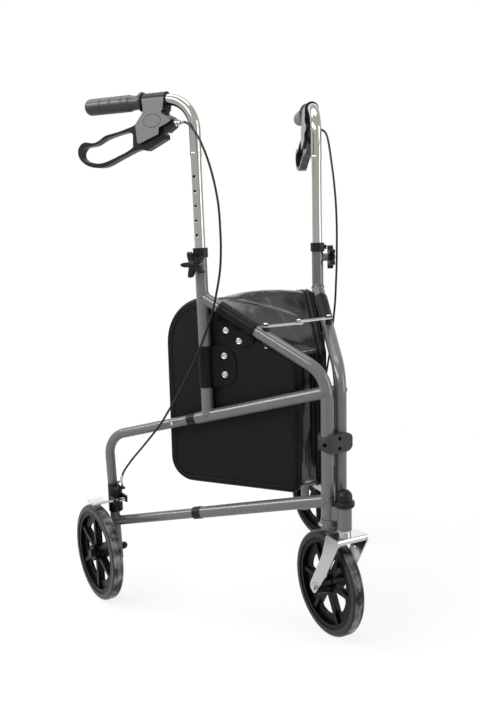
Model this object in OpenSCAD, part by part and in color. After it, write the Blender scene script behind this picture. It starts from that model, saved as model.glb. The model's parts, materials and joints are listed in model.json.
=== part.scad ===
// Three wheel rollator: two splayed tube frames hinged at the front, a caster fork, two rear wheels,
// height adjustable handles with loop brakes, and a bag hung between the frames.
// X runs across with the right side at minus X, Y runs rearward, Z runs up from the ground.

/* [Wheels] */
// Outer diameter of all three tyres
wheel_d = 190.5; // [160:0.5:220]
// Width of the tyre
tyre_w = 22; // [18:0.5:30]
// Height of the tyre above the rim
tyre_h = 12.75; // [9:0.25:18]
// Width of the rim's outer hoop
hoop_w = 19; // [14:0.5:24]
// Height of the hoop inside the tyre
hoop_h = 9; // [6:0.5:14]
// Height of the flat web between the hoop and the windows
web_h = 15; // [8:0.5:20]
// Thickness of the web
web_t = 5; // [4:0.5:12]
// Number of spokes
spoke_n = 6; // [4:1:8]
// Width of a spoke at the hub
spoke_w = 9; // [6:0.5:14]
// Width of a spoke at the outer edge of the windows
spoke_foot = 7; // [6:0.5:14]
// Thickness of a spoke
spoke_t = 14; // [8:0.5:18]
// Width of the web left beside a spoke
spoke_skirt = 3; // [1:0.5:6]
// Radius of the windows' outer corners
window_round = 9; // [4:0.5:12]
// Diameter of the wheel hubs
hub_d = 31; // [26:1:38]
// Width of the rear hubs
rear_hub_w = 30; // [24:1:34]
// Diameter of the axle bolts
axle_d = 8; // [6:0.5:10]

/* [Side frames] */
// Angle of each side frame away from straight ahead
splay = 29.2; // [26:0.2:32]
// Distance between the axes of the two front tubes
tube_gap = 28.8; // [26:0.2:34]
// Diameter of the main tubes
tube_d = 22.2; // [20:0.1:24]
// Wall of the main tubes
tube_wall = 1.5; // [1:0.1:2]
// Radial clearance of a tube that slides in another
slide_gap = 0.08; // [0.04:0.01:0.1]
// Wall of the inner tubes
inner_wall = 1.5; // [1:0.1:2]
// Height of the front tubes' lower ends
front_low = 208; // [200:1:212]
// Height of the upper rail's axis at the front tube
upper_front = 451; // [440:1:460]
// Fall of the upper rail towards the rear, in degrees
upper_fall = 15.1; // [13:0.1:17]
// Height of the lower rail's axis at the front tube
lower_front = 259; // [250:1:270]
// Fall of the lower rail towards the rear, in degrees
lower_fall = 13.3; // [11:0.1:15]
// Distance along the frame at which the upper rail ends
upper_mouth = 260; // [252:1:275]
// Distance along the frame at which the lower rail ends
lower_mouth = 255; // [246:1:270]
// Length that the rear section is plugged into the rails
plug_len = 50; // [30:1:60]
// Length of the sleeves at the rails' mouths
sleeve_len = 17; // [10:1:22]
// Wall of the sleeves over the inner tube
sleeve_wall = 2.4; // [1.8:0.1:3.5]
// Distance of the snap button behind the upper sleeve
button_back = 32; // [24:1:40]
// Distance along the frame from the front tube to the leg at the axle
leg_u = 457; // [440:1:480]
// Backward lean of the leg with height, in degrees
leg_lean = 2.3; // [0:0.1:4]
// Height of the leg's lower end
leg_low = 73; // [66:1:80]
// Bend radius of the rear corner
leg_bend = 48; // [40:1:56]
// Distance along the frame to the foot of the post
post_u = 235.5; // [225:0.5:245]
// Backward lean of the post, in degrees
post_lean = 1; // [0:0.1:2]
// Height of the post's top
post_top = 686; // [670:1:700]
// Height at which the sloping tube meets the post
slope_top = 607.5; // [600:0.5:615]
// Rise of the sloping tube, in degrees
slope_rise = 28.1; // [26:0.1:30]
// Bend radius between the front tube and the sloping tube
front_bend = 60; // [50:1:66]
// Gap left at a welded joint
weld_gap = 0.03; // [0.01:0.01:0.05]

/* [Handles] */
// Height of the handle's axis
handle_top = 954; // [930:1:975]
// Bend radius of the handle tube
handle_bend = 55; // [48:1:60]
// Diameter of the bent part of the handle tube
handle_d = 20.6; // [20:0.1:22]
// Height of the step between the bent part and the holed part
handle_step = 857; // [850:1:875]
// Height of the handle tube's lower end
handle_low = 590; // [580:1:605]
// Height of the clamp knob's axis
knob_up = 666; // [655:1:672]
// Distance between adjustment holes
hole_pitch = 25.4; // [20:0.2:30]
// Diameter of the adjustment holes
hole_d = 6.5; // [5:0.1:8]
// Adjustment holes above the knob
holes_up = 6; // [4:1:6]
// Adjustment holes below the knob
holes_down = 2; // [1:1:2]
// Diameter of the collar on the post
collar_d = 27; // [25:0.5:30]
// Height of the collar
collar_h = 17; // [12:1:22]
// Distance along the frame to the grip's flange
grip_u = 348; // [344:1:352]
// Length of the grip
grip_len = 128; // [115:1:135]
// Diameter of the grip
grip_d = 30; // [28:0.5:34]
// Diameter of the grip's flange
grip_flange_d = 35; // [32:0.5:38]
// Diameter of the grip's neck
grip_neck_d = 25; // [23.5:0.5:27]
// Length of the grip's neck and flange
grip_neck = 30; // [24:1:34]
// Radius of the clamp knob's arms
knob_r = 24; // [18:0.5:27]
// Arms on the clamp knob
knob_arms = 5; // [4:1:6]
// Thickness of the clamp knob
knob_t = 11; // [8:0.5:14]

/* [Hand brakes] */
// Distance of the lever pivot in front of the grip's flange
pivot_ahead = 24; // [20:0.5:26]
// Drop of the lever pivot below the handle's axis
pivot_drop = 35.5; // [34:0.5:38]
// Width of the brake housing
housing_w = 28; // [26:0.5:32]
// Width of the lever
lever_w = 16; // [13:0.5:17]
// Clearance beside the lever
lever_gap = 0.4; // [0.3:0.05:0.6]
// Diameter of the lever's pivot pin
pivot_d = 6; // [4:0.5:8]
// Diameter of the brake cable
cable_d = 4; // [3:0.5:6]
// Diameter of the cable's adjusting barrel
barrel_d = 12.4; // [10:0.2:14]
// Length of the cable's adjusting barrel
barrel_len = 12.5; // [10:0.5:16]

/* [Rear brakes] */
// Distance from the leg outward to the middle of the wheel
wheel_out = 40.6; // [38:0.2:44]
// Distance of the brake pivot ahead of the leg
shoe_ahead = 21; // [18:0.5:24]
// Height of the brake pivot above the tyre
shoe_up = 11; // [10:0.5:14]
// Width of the brake shoe's blade
blade_w = 30; // [24:1:34]
// Reach of the blade behind its pivot
blade_reach = 32; // [28:1:38]
// Thickness of the blade
blade_t = 2.5; // [2:0.1:3]
// Diameter of the brake pivot pin
shoe_pin_d = 5; // [4:0.5:6]

/* [Caster] */
// Distance of the caster stem ahead of the front tubes
stem_ahead = 28.2; // [27:0.2:31]
// Trail of the front wheel behind the stem
trail = 48.7; // [44:0.1:54]
// Turn of the caster at rest, in degrees
caster_turn = -4.7; // [-10:0.1:10]
// Diameter of the caster's housing tube
housing_d = 25.4; // [24:0.1:26.4]
// Height of the housing tube's lower end
housing_low = 212; // [209:0.5:215]
// Height of the housing tube's upper end
housing_top = 252; // [246:1:260]
// Diameter of the fork's stem
stem_d = 10; // [8:0.5:12]
// Height of the fork's crown plate
crown_up = 204; // [198:0.5:206]
// Thickness of the fork's plate
fork_t = 3; // [2.5:0.1:4]
// Distance between the fork's arms
fork_gap = 56; // [50:0.5:60]

/* [Hinges and brace] */
// Height of the hinge clamp's middle
clamp_mid = 361.5; // [350:0.5:375]
// Height of the hinge clamp
clamp_h = 33; // [30:0.5:40]
// Depth of the hinge clamp
clamp_t = 33; // [31:0.5:37]
// Height of the lower hinge strap's middle
strap_mid = 219; // [217:1:222]
// Height of the lower hinge strap
strap_h = 13; // [10:0.5:14]
// Thickness of the lower hinge strap
strap_t = 2; // [1.5:0.1:3]
// Distance along the sloping tube's plan to the brace bolt
brace_u = 113.3; // [108:0.1:118]
// Distance that the brace's middle lies ahead of its bolts
brace_ahead = 5; // [2:0.5:8]
// Width of a brace link
link_w = 14; // [12:0.5:18]
// Thickness of a brace link
link_t = 2.5; // [2:0.1:3]
// Diameter of the brace bolts
brace_bolt_d = 6; // [5:0.5:8]
// Running clearance of the hinges, on the radius
hinge_gap = 0.1; // [0.05:0.01:0.15]

/* [Bag] */
// Distance along the frame to the bag's front edge
bag_front = 67; // [60:1:75]
// Distance along the frame to the bag's rear edge
bag_rear = 325; // [315:1:335]
// Height of the bag's lower edge
bag_low = 256; // [250:1:262]
// Height of the bag's upper edge
bag_top = 599; // [592:1:606]
// Height of the bag's front corner
bag_nose = 508; // [500:1:520]
// Thickness of a side panel
panel_t = 5; // [3:0.5:7]
// Thickness of the soft wall between the panels
wall_t = 3; // [2:0.5:4]
// Thickness of the straps
strap_skin = 1.8; // [1.2:0.1:2.5]
// Distance along the frame at which the bag's slope meets its upper edge
bag_peak = 232; // [226:1:240]
// Corner radius at the bag's rear top
bag_round = 82; // [60:1:86]
// Corner radius at the bag's rear bottom
bag_heel = 40; // [30:1:50]
// Front end of the upper straps, along the frame
strap_fore = 132; // [130:1:140]
// Rear end of the upper straps, along the frame
strap_aft = 204; // [195:1:208]
// Reach of the upper straps' flaps from the tube's axis
strap_hang = 46; // [40:1:48]
// Height of the lower straps' lower edge
strap_low = 442; // [436:1:450]
// Height of the lower straps' upper edge
strap_high = 518; // [510:1:524]
// Reach of the lower straps' flaps from the post's axis
strap_reach = 57; // [45:1:70]
// Clearance between the bag and the frame
bag_gap = 0.4; // [0.3:0.1:1]

/* [Hidden] */
$fn = 48;
right = -1;
left = 1;
steel = "#8b8e91";
chrome = "#d4d7da";
black = "#26272a";
rubber = "#3a3b3d";
vinyl = "#1c1d20";

// Radii and bores
wheel_r = wheel_d / 2;
rim_r = wheel_r - tyre_h;
window_r = rim_r - hoop_h - web_h;
tube_r = tube_d / 2;
tube_bore = tube_d - 2 * tube_wall;
inner_d = tube_bore - 2 * slide_gap;
inner_bore = inner_d - 2 * inner_wall;
fit_gap = 0.05;
bend_lap = 0.5;
bend_thin = 0.36;
panel_in = max(tube_r, inner_d / 2 + sleeve_wall) + bag_gap;

// Small fittings
nut_d = 15;
nut_reach = tube_r + 9;
screw_d = 6;
strap_bolt_d = 5;
button_d = 6;
adjuster_d = 7;
adjuster_x = 2;
button_u = upper_mouth + sleeve_len + button_back;
barrel_from = [-38.5, -5.5];
barrel_neck = 8;
clamp_screw_d = 4;
clamp_head_d = 7;
clamp_head_in = 6;
clamp_wall = 4;
clamp_half = tube_gap / 2 + tube_r + clamp_wall;
clamp_set_turn = 216;
clamp_set_in = tube_r + 2.5;
clamp_split = 0.2;
clamp_pair = 8.75;
clamp_screws = [clamp_mid + clamp_pair, clamp_mid - clamp_pair];
bearing_d = housing_d - 5;
front_hub_w = fork_gap - 6;

// Lines of the side frame, as distance along the frame and height
upper_foot = upper_front - tan(upper_fall) * post_u;
slope_foot = slope_top - tan(slope_rise) * post_at(slope_top);
front_corner = [0, slope_foot];
slope_end = [post_at(slope_top), slope_top] - 2 * heading(slope_rise);
upper_corner_z = (upper_front - tan(upper_fall) * (leg_u - tan(leg_lean) * wheel_r))
    / (1 + tan(upper_fall) * tan(leg_lean));
leg_corner = [leg_at(upper_corner_z), upper_corner_z];
lower_joint_z = (lower_front - tan(lower_fall) * (leg_u - tan(leg_lean) * wheel_r))
    / (1 + tan(lower_fall) * tan(leg_lean));
lower_joint = [leg_at(lower_joint_z), lower_joint_z];
handle_corner = [post_at(handle_top), handle_top];
handle_end = grip_u + grip_len - 12;
lever_pivot = [grip_u - pivot_ahead, handle_top - pivot_drop];

// Places of the wheels, from the middle of the front tubes
leg_x = tube_gap / 2 + leg_u * sin(splay);
leg_y = leg_u * cos(splay);
front_reach = trail * cos(caster_turn) - stem_ahead - wheel_r * cos(caster_turn) - 0.5;
mid_y = (front_reach + leg_y + wheel_r) / 2;
brace_y = brace_u * cos(splay);
brace_x = tube_gap / 2 + brace_u * sin(splay);
brace_seat = slope_foot + tan(slope_rise) * brace_u + tube_r / cos(slope_rise);
link_rise = 4.4;
link_low = brace_seat + link_rise;
link_step = link_t + 0.6;
rivet_d = 9;
rivet_h = 1.6;

// The brake cable from the hand brake to the rear brake: outward, along the frame and up
cable_route = [
    [0, 271.6, 913], [8, 258, 911.5], [17.5, 241, 902], [20.5, 224, 881], [22.5, 208, 848], [25, 195, 810],
    [27, 186, 768], [28, 183, 725], [28, 183, 690], [28, 186, 655], [28, 194, 618], [28, 204, 582],
    [27, 221, 542], [26, 244, 495], [24, 279, 437], [22, 309, 393], [20, 329, 366], [18, 355, 337],
    [15, 381, 310], [13, 404, 286], [11, 425, 260], [10, 434, 239.6]
];

function leg_at(z) = leg_u + tan(leg_lean) * (z - wheel_r);
function post_at(z) = post_u + tan(post_lean) * (z - upper_foot);
function upper_at(u) = [u, upper_front - tan(upper_fall) * u];
function lower_at(u) = [u, lower_front - tan(lower_fall) * u];
function unit(v) = v / norm(v);
function heading(a) = [cos(a), sin(a)];
function bearing(v) = atan2(v[1], v[0]);
function half_turn(a) = a > 180 ? a - 360 : a < -180 ? a + 360 : a;

// A corner at b of the path a, b, c as an arc of radius r
function corner(a, b, c, r, n) =
    let (p = unit(a - b), q = unit(c - b), half = acos(p * q) / 2)
    let (mid = b + unit(p + q) * r / sin(half), reach = r / tan(half))
    let (from = bearing(b + p * reach - mid), sweep = half_turn(bearing(b + q * reach - mid) - from))
    [for (i = [0:n]) mid + r * heading(from + sweep * i / n)];

// A closed outline whose points are x, y and a corner radius
function rounded(points, n = 6) =
    [for (i = [0:len(points) - 1])
        let (k = len(points), a = points[(i + k - 1) % k], b = points[i], c = points[(i + 1) % k])
        each b[2] == 0 ? [[b[0], b[1]]]
            : corner([a[0], a[1]], [b[0], b[1]], [c[0], c[1]], b[2], n)];

// A smooth curve through four points, between the middle two
function spline(a, b, c, d, t) =
    0.5 * (2 * b + (c - a) * t + (2 * a - 5 * b + 4 * c - d) * t * t + (3 * b - a - 3 * c + d) * t * t * t);

// Points along a route with a number of steps between neighbours
function smooth(route, steps) =
    let (k = len(route))
    concat([for (i = [0:k - 2]) for (j = [0:steps - 1])
        spline(route[max(i - 1, 0)], route[i], route[i + 1], route[min(i + 2, k - 1)], j / steps)],
        [route[k - 1]]);

// A round cord along a path that lies close to the plane of the frame
module cord(path, d, sides = 8) {
    k = len(path);
    rings = [for (i = [0:k - 1])
        let (t = unit(path[min(i + 1, k - 1)] - path[max(i - 1, 0)]))
        let (b = unit(cross(t, [1, 0, 0])), a = cross(b, t))
        for (j = [0:sides - 1])
            path[i] + d / 2 * (a * cos(360 * j / sides) + b * sin(360 * j / sides))];
    skin = [for (i = [0:k - 2]) for (j = [0:sides - 1])
        let (p = i * sides + j, q = i * sides + (j + 1) % sides)
        each [[p, p + sides, q + sides], [p, q + sides, q]]];
    ends = [[for (j = [0:sides - 1]) j], [for (j = [sides - 1:-1:0]) (k - 1) * sides + j]];
    polyhedron(points = rings, faces = concat(skin, ends), convexity = 6);
}

// Places what is drawn at the front tube, with +X inward, +Y along the frame
module on_frame(side) {
    if (side == right)
        translate([-tube_gap / 2, -mid_y, 0]) rotate([0, 0, splay]) children();
    else
        mirror([1, 0, 0]) translate([-tube_gap / 2, -mid_y, 0]) rotate([0, 0, splay]) children();
}

// Places what is drawn at the leg, with +X inward and +Y straight rearward
module on_leg(side) {
    if (side == right)
        translate([-leg_x, leg_y - mid_y, 0]) children();
    else
        mirror([1, 0, 0]) translate([-leg_x, leg_y - mid_y, 0]) children();
}

// The space that the leg fills, seen from the place of the axle
module leg_at_axle(gap) {
    rotate([0, 0, splay]) translate([0, -leg_u, 0]) leg_space(gap);
}

// Places what is drawn at the caster's stem
module on_stem() {
    translate([0, -stem_ahead - mid_y, 0]) rotate([0, 0, caster_turn]) children();
}

// Places what is drawn midway between the front tubes
module on_front() {
    translate([0, -mid_y, 0]) children();
}

// Places what is drawn on the post's axis at a height
module on_post(z) {
    translate([0, post_at(z), z]) rotate([-post_lean, 0, 0]) children();
}

// Stands a flat outline of frame distance and height upright, from one offset to another
module slab(x0, x1) {
    translate([x0, 0, 0]) rotate([90, 0, 90]) linear_extrude(x1 - x0) children();
}

// A rod in the plane of the frame between two points
module rod(p, q, d) {
    v = q - p;
    translate([0, p[0], p[1]]) rotate([bearing(v) - 90, 0, 0]) cylinder(h = norm(v), d = d);
}

// A tube in the plane of the frame between two points
module pipe(p, q, d, bore) {
    v = unit(q - p);
    difference() {
        rod(p, q, d);
        rod(p - v, q + v, bore);
    }
}

// A rod through three points with one round bend
module bent_rod(a, b, c, r, d) {
    p = unit(a - b);
    q = unit(c - b);
    half = acos(p * q) / 2;
    reach = r / tan(half);
    mid = b + unit(p + q) * r / sin(half);
    from = bearing(b + p * reach - mid);
    sweep = half_turn(bearing(b + q * reach - mid) - from);
    rod(a, b + p * reach, d);
    rod(b + q * reach, c, d);
    translate([0, mid[0], mid[1]]) rotate([90, 0, 90]) rotate([0, 0, min(from, from + sweep) - bend_lap])
        rotate_extrude(angle = abs(sweep) + 2 * bend_lap) translate([r, 0]) circle(d = d - bend_thin);
}

// A tube through three points with one round bend
module bent_pipe(a, b, c, r, d, bore) {
    difference() {
        bent_rod(a, b, c, r, d);
        bent_rod(a + unit(a - b), b, c + unit(c - b), r, bore);
    }
}

// A rod across the frame, from one offset to another
module cross_rod(p, x0, x1, d) {
    translate([x0, p[0], p[1]]) rotate([0, 90, 0]) cylinder(h = x1 - x0, d = d);
}

// The space that the front tube fills
module front_tube_space() {
    bent_rod([0, front_low], front_corner, slope_end, front_bend, tube_d + 2 * weld_gap);
}

// The space that the post fills
module post_space() {
    rod([post_at(upper_front - 100), upper_front - 100], [post_at(post_top), post_top], tube_d + 2 * weld_gap);
}

// The space that the leg fills
module leg_space(gap) {
    rod([leg_at(leg_low), leg_low], leg_corner, inner_d + 2 * gap);
}

module front_tube(side) {
    color(steel) on_frame(side) difference() {
        bent_pipe([0, front_low], front_corner, slope_end, front_bend, tube_d, tube_bore);
        post_space();
        translate([0, brace_u, 0]) cylinder(h = handle_top, d = brace_bolt_d + 2 * fit_gap);
        if (side == right)
            translate([0, 0, strap_mid]) rotate([0, 0, -splay]) rotate([0, 90, 0])
                cylinder(h = 3 * tube_d, d = strap_bolt_d + 2 * fit_gap, center = true);
    }
}

module upper_rail(side) {
    color(steel) on_frame(side) difference() {
        pipe(upper_at(0), upper_at(upper_mouth), tube_d, tube_bore);
        front_tube_space();
    }
}

module lower_rail(side) {
    color(steel) on_frame(side) difference() {
        pipe(lower_at(0), lower_at(lower_mouth), tube_d, tube_bore);
        front_tube_space();
    }
}

module post(side) {
    foot = [post_at(upper_foot), upper_foot];
    top = [post_at(post_top), post_top];
    run = unit(top - foot);
    color(steel) on_frame(side) difference() {
        union() {
            rod(foot, top, tube_d);
            on_post(knob_up) rotate([0, -90, 0]) cylinder(h = nut_reach, d = nut_d);
        }
        rod(upper_at(0), upper_at(upper_mouth), tube_d + 2 * weld_gap);
        rod(foot - run, top + run, tube_bore);
        on_post(knob_up) rotate([0, -90, 0]) cylinder(h = 2 * nut_reach, d = screw_d + 2 * hinge_gap);
    }
}

module rear_leg(side) {
    color(steel) on_frame(side) difference() {
        bent_pipe(upper_at(upper_mouth - plug_len), leg_corner, [leg_at(leg_low), leg_low],
            leg_bend, inner_d, inner_bore);
        cross_rod(upper_at(button_u), -inner_d, 0, button_d + 2 * fit_gap);
        translate([0, leg_u, wheel_r]) rotate([0, 0, -splay]) rotate([0, 90, 0])
            cylinder(h = 3 * inner_d, d = axle_d + 2 * fit_gap, center = true);
    }
}

module leg_rail(side) {
    color(steel) on_frame(side) difference() {
        pipe(lower_at(lower_mouth - plug_len), lower_joint, inner_d, inner_bore);
        leg_space(weld_gap);
    }
}

// A sleeve on an inner tube, against the mouth of a rail
module mouth_sleeve(p, q) {
    v = unit(q - p);
    pipe(p, p + v * sleeve_len, inner_d + 2 * sleeve_wall, inner_d + 2 * fit_gap);
}

module sleeves(side) {
    lip = 4;
    color(black) on_frame(side) {
        mouth_sleeve(upper_at(upper_mouth), upper_at(upper_mouth + 1));
        mouth_sleeve(lower_at(lower_mouth), lower_at(lower_mouth + 1));
        on_post(post_top) difference() {
            union() {
                translate([0, 0, -collar_h / 2]) cylinder(h = collar_h, d = collar_d);
                translate([-collar_d / 2 - lip, -lip, -collar_h / 4]) cube([collar_d / 2 + lip, 2 * lip, collar_h / 2]);
            }
            translate([0, 0, -collar_h]) cylinder(h = collar_h + fit_gap, d = tube_d + 2 * fit_gap);
            translate([0, 0, -collar_h]) cylinder(h = 2 * collar_h, d = tube_bore);
        }
    }
}

module snap_button(side) {
    head = 3;
    lip = button_d * 0.7;
    base = inner_d / 4;
    stop = sqrt(pow(inner_bore / 2, 2) - pow(lip, 2)) - 0.1;
    spot = upper_at(button_u);
    color(chrome) on_frame(side) translate([0, spot[0], spot[1]]) rotate([0, -90, 0])
        rotate_extrude() polygon(concat(
            [[0, base], [lip, base], [lip, stop], [button_d / 2, stop]],
            [for (a = [0:15:90]) [button_d / 2 * cos(a), inner_d / 2 + head / 3 + head * 2 / 3 * sin(a)]]));
}

// A cross rod on the leg's axle line, with +X inward
module axle_rod(x0, x1, d) {
    translate([x0, 0, wheel_r]) rotate([0, 90, 0]) cylinder(h = x1 - x0, d = d);
}

module axle(side) {
    cap_d = 15;
    cap_in = inner_d / 2 + 3;
    dome = 8;
    play = 0.3;
    hub_out = wheel_out + rear_hub_w / 2;
    hub_in = wheel_out - rear_hub_w / 2;
    color(black) on_leg(side) {
        axle_rod(-hub_out - 4, cap_in, axle_d);
        axle_rod(-hub_out - 5, -hub_out - play, cap_d);
        difference() {
            union() {
                axle_rod(-hub_in + play, 0, cap_d);
                translate([0, 0, wheel_r]) rotate([0, 90, 0]) rotate_extrude()
                    polygon(concat([[0, 0], [cap_d / 2, 0]],
                        [for (a = [0:15:90]) [cap_d / 2 * cos(a), cap_in + dome * sin(a)]]));
            }
            leg_at_axle(fit_gap);
        }
    }
}

// A point at a distance from the middle, beside a spoke of a given width at an angle
function beside_spoke(r, width, angle, way) = r * heading(way * (angle - asin(width / 2 / r)));

// The outline of a rim's window about the X axis
function window_outline() =
    let (half = 180 / spoke_n, foot = hub_d / 2 + 3)
    let (p = beside_spoke(foot, spoke_w, half, 1))
    let (q = beside_spoke(window_r, spoke_foot + spoke_skirt, half, 1))
    rounded([[p[0], -p[1], 3], [q[0], -q[1], window_round], [window_r, 0, window_r / 2],
        [q[0], q[1], window_round], [p[0], p[1], 3]], 5);

// A rim about the Z axis: a hoop, a web with windows between the spokes, and a hub
module rim_shape(hub_w, phase) {
    difference() {
        union() {
            rotate_extrude() translate([rim_r - hoop_h, -hoop_w / 2]) square([hoop_h, hoop_w]);
            cylinder(h = web_t, r = rim_r - hoop_h / 2, center = true);
            cylinder(h = hub_w, d = hub_d, center = true);
            for (k = [0:spoke_n - 1])
                rotate([0, 0, phase + 360 * k / spoke_n]) translate([0, 0, -spoke_t / 2]) linear_extrude(spoke_t)
                    polygon([[hub_d / 4, -spoke_w / 2], [rim_r - hoop_h / 2, -spoke_foot / 2],
                        [rim_r - hoop_h / 2, spoke_foot / 2], [hub_d / 4, spoke_w / 2]]);
        }
        for (k = [0:spoke_n - 1])
            rotate([0, 0, phase + 360 * (k + 0.5) / spoke_n]) translate([0, 0, -spoke_t])
                linear_extrude(2 * spoke_t) polygon(window_outline());
        cylinder(h = 2 * hub_w, d = axle_d + 2 * hinge_gap, center = true);
    }
}

// A grooved tyre about the Z axis
module tyre_shape() {
    edge = tyre_w / 2;
    groove = 1.2;
    line = tyre_w * 0.2;
    shoulder = tyre_w * 0.27;
    rotate_extrude($fn = 96) polygon(rounded([
        [rim_r + fit_gap, -edge, 0], [wheel_r, -edge, shoulder], [wheel_r, -line - groove, 0],
        [wheel_r - groove, -line, 0], [wheel_r, -line + groove, 0], [wheel_r, line - groove, 0],
        [wheel_r - groove, line, 0], [wheel_r, line + groove, 0], [wheel_r, edge, shoulder],
        [rim_r + fit_gap, edge, 0]]));
}

module rim(side) {
    color(black) on_leg(side) translate([-wheel_out, 0, wheel_r]) rotate([0, 90, 0]) rim_shape(rear_hub_w, -62);
}

module tyre(side) {
    color(rubber) on_leg(side) translate([-wheel_out, 0, wheel_r]) rotate([0, 90, 0]) tyre_shape();
}

// Places what is drawn at the brake pivot beside the leg
module on_shoe_pivot() {
    translate([0, -shoe_ahead, wheel_d + shoe_up]) children();
}

module brake_bracket(side) {
    ring_d = inner_d + 9;
    rail_clear = 13.3;
    rail_top = lower_joint[1] + inner_d / 2 / cos(lower_fall);
    ring_low = rail_top + rail_clear - wheel_d - shoe_up;
    ring_top = 28;
    ear = [4, shoe_ahead, 13];
    tab = [18, shoe_ahead, 4];
    tab_up = 22;
    nose = 6;
    barrel_h = 15;
    color(black) on_leg(side) difference() {
        on_shoe_pivot() {
            translate([0, shoe_ahead, ring_low]) cylinder(h = ring_top - ring_low, d = ring_d);
            for (x = [-ring_d / 2, ring_d / 2 - ear[0]]) translate([x, -nose, -ear[2] / 2]) cube(ear);
            translate([-tab[0] / 2, -nose * 1.5, tab_up]) cube(tab);
            translate([adjuster_x, -nose / 2, tab_up]) cylinder(h = barrel_h, d = adjuster_d);
            translate([adjuster_x, -nose / 2, tab_up]) cylinder(h = tab[2] + 4, d = adjuster_d + 4, $fn = 6);
        }
        leg_at_axle(fit_gap);
        on_shoe_pivot() rotate([0, 90, 0]) cylinder(h = 3 * ring_d, d = shoe_pin_d + 2 * hinge_gap, center = true);
        on_shoe_pivot() translate([adjuster_x, -nose / 2, tab_up - 1]) cylinder(h = barrel_h + 2, d = 2.4);
    }
}

module brake_shoe(side) {
    inner_end = inner_d / 2 + 6;
    outer_end = wheel_out + blade_w / 2;
    tab = 13;
    dip = 1.6;
    color(chrome) on_leg(side) on_shoe_pivot() {
        translate([-outer_end, 0, 0]) rotate([0, 90, 0]) cylinder(h = outer_end + inner_end, d = shoe_pin_d);
        slab(-outer_end, -outer_end + blade_w) polygon(rounded([
            [0, -blade_t / 2, 0], [blade_reach * 0.4, -blade_t / 2 - dip, 14], [blade_reach, -blade_t / 2, 0],
            [blade_reach, blade_t / 2, 0], [blade_reach * 0.4, blade_t / 2 - dip, 14], [0, blade_t / 2, 0]]));
        slab(-6, 6) polygon([[0, -blade_t / 2], [0, blade_t / 2], [-tab, blade_t / 2 + 1], [-tab, -blade_t / 2 + 1]]);
    }
}

module handle_tube(side) {
    overlap = 6;
    low = [post_at(handle_low), handle_low];
    step = [post_at(handle_step), handle_step];
    run = unit(step - low);
    color(chrome) on_frame(side) difference() {
        union() {
            pipe(low, step + run * overlap, inner_d, inner_bore);
            bent_pipe(step, handle_corner, [handle_end, handle_top], handle_bend,
                handle_d, handle_d - 2 * inner_wall);
        }
        for (k = [-holes_down:holes_up])
            on_post(knob_up) translate([0, 0, k * hole_pitch]) rotate([0, -90, 0]) cylinder(h = inner_d, d = hole_d);
    }
}

module grip(side) {
    flange = 6;
    flange_round = 2;
    body = grip_d / 2;
    neck = grip_neck_d / 2;
    groove = 0.8;
    grooves = [grip_neck + 12, grip_neck + 37, grip_neck + 60];
    end_round = 11;
    color(rubber) on_frame(side) translate([0, grip_u, handle_top]) rotate([-90, 0, 0]) difference() {
        rotate_extrude() polygon(concat(
            [[0, 0]],
            [for (a = [-90:30:90]) [grip_flange_d / 2 - flange_round + flange_round * cos(a),
                flange / 2 + flange / 2 * sin(a)]],
            [for (k = [0:6]) let (t = k / 6)
                [neck + (body - neck) * pow(t, 4), flange + 1 + (grip_neck - flange - 1) * t]],
            [for (z = grooves) each [[body, z - 2], [body - groove, z], [body, z + 2]]],
            [for (a = [0:15:90]) [body - end_round * (1 - cos(a)), grip_len - end_round * (1 - sin(a))]],
            [[0, grip_len]]));
        translate([0, 0, -1]) cylinder(h = handle_end - grip_u + 1, d = handle_d + 2 * fit_gap);
    }
}

// Moves what is drawn about the lever's pivot to its place
module on_pivot() {
    translate([0, lever_pivot[0], lever_pivot[1]]) children();
}

// A flat oval outline with a number of points
function oval(w, h, n = 40) = [for (i = [0:n - 1]) [w / 2 * cos(360 * i / n), h / 2 * sin(360 * i / n)]];

module brake_housing(side) {
    hood_rear = 20;
    hood_front = -26;
    half = housing_w / 2;
    slot = lever_w / 2 + lever_gap;
    end_cap = 2;
    badge = [38, 23];
    badge_line = 1.6;
    badge_deep = 0.6;
    side_plate = rounded([
        [hood_rear, pivot_drop, 0], [hood_front, pivot_drop, 0], [-23, 18, 3], [-18, 13, 3], [-34, 5, 3],
        [-40, -1, 2], [-34, -5, 2], [-14, -12.5, 2], [-13, -23.5, 3], [33, -39, 4], [36, -4, 5], [18, 17, 9]]);
    nose = rounded([[-10, 14, 0], [-33, 4, 3], [-39, -2, 2], [-42.5, -12, 3], [-25, -23, 2], [-19.5, -14, 0], [-10, -10, 0]]);
    color(black) on_frame(side) difference() {
        union() {
            on_pivot() slab(-half, half) polygon(side_plate);
            on_pivot() slab(-lever_w / 2, lever_w / 2) polygon(nose);
            translate([0, lever_pivot[0] + hood_front, handle_top]) rotate([-90, 0, 0])
                cylinder(h = hood_rear - hood_front, d = housing_w);
        }
        on_pivot() slab(-slot, slot)
            polygon([[-19, 15], [60, 15], [60, -70], [-30, -70], [-30, -25], [-19, -14]]);
        for (x = [-half - 1, half - badge_deep]) on_pivot() slab(x, x + 1 + badge_deep) difference() {
            polygon(oval(badge[0], badge[1]));
            polygon(oval(badge[0] - badge_line, badge[1] - badge_line));
        }
        translate([0, lever_pivot[0] + 2 * hood_front, handle_top]) rotate([-90, 0, 0])
            cylinder(h = 3 * housing_w, d = handle_d + 2 * fit_gap);
        cross_rod(lever_pivot, -half + end_cap, half - end_cap, pivot_d + 2 * fit_gap);
        rod(lever_pivot + barrel_from, lever_pivot + barrel_from - [barrel_len, 0], barrel_d + 2 * fit_gap);
    }
}

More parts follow.
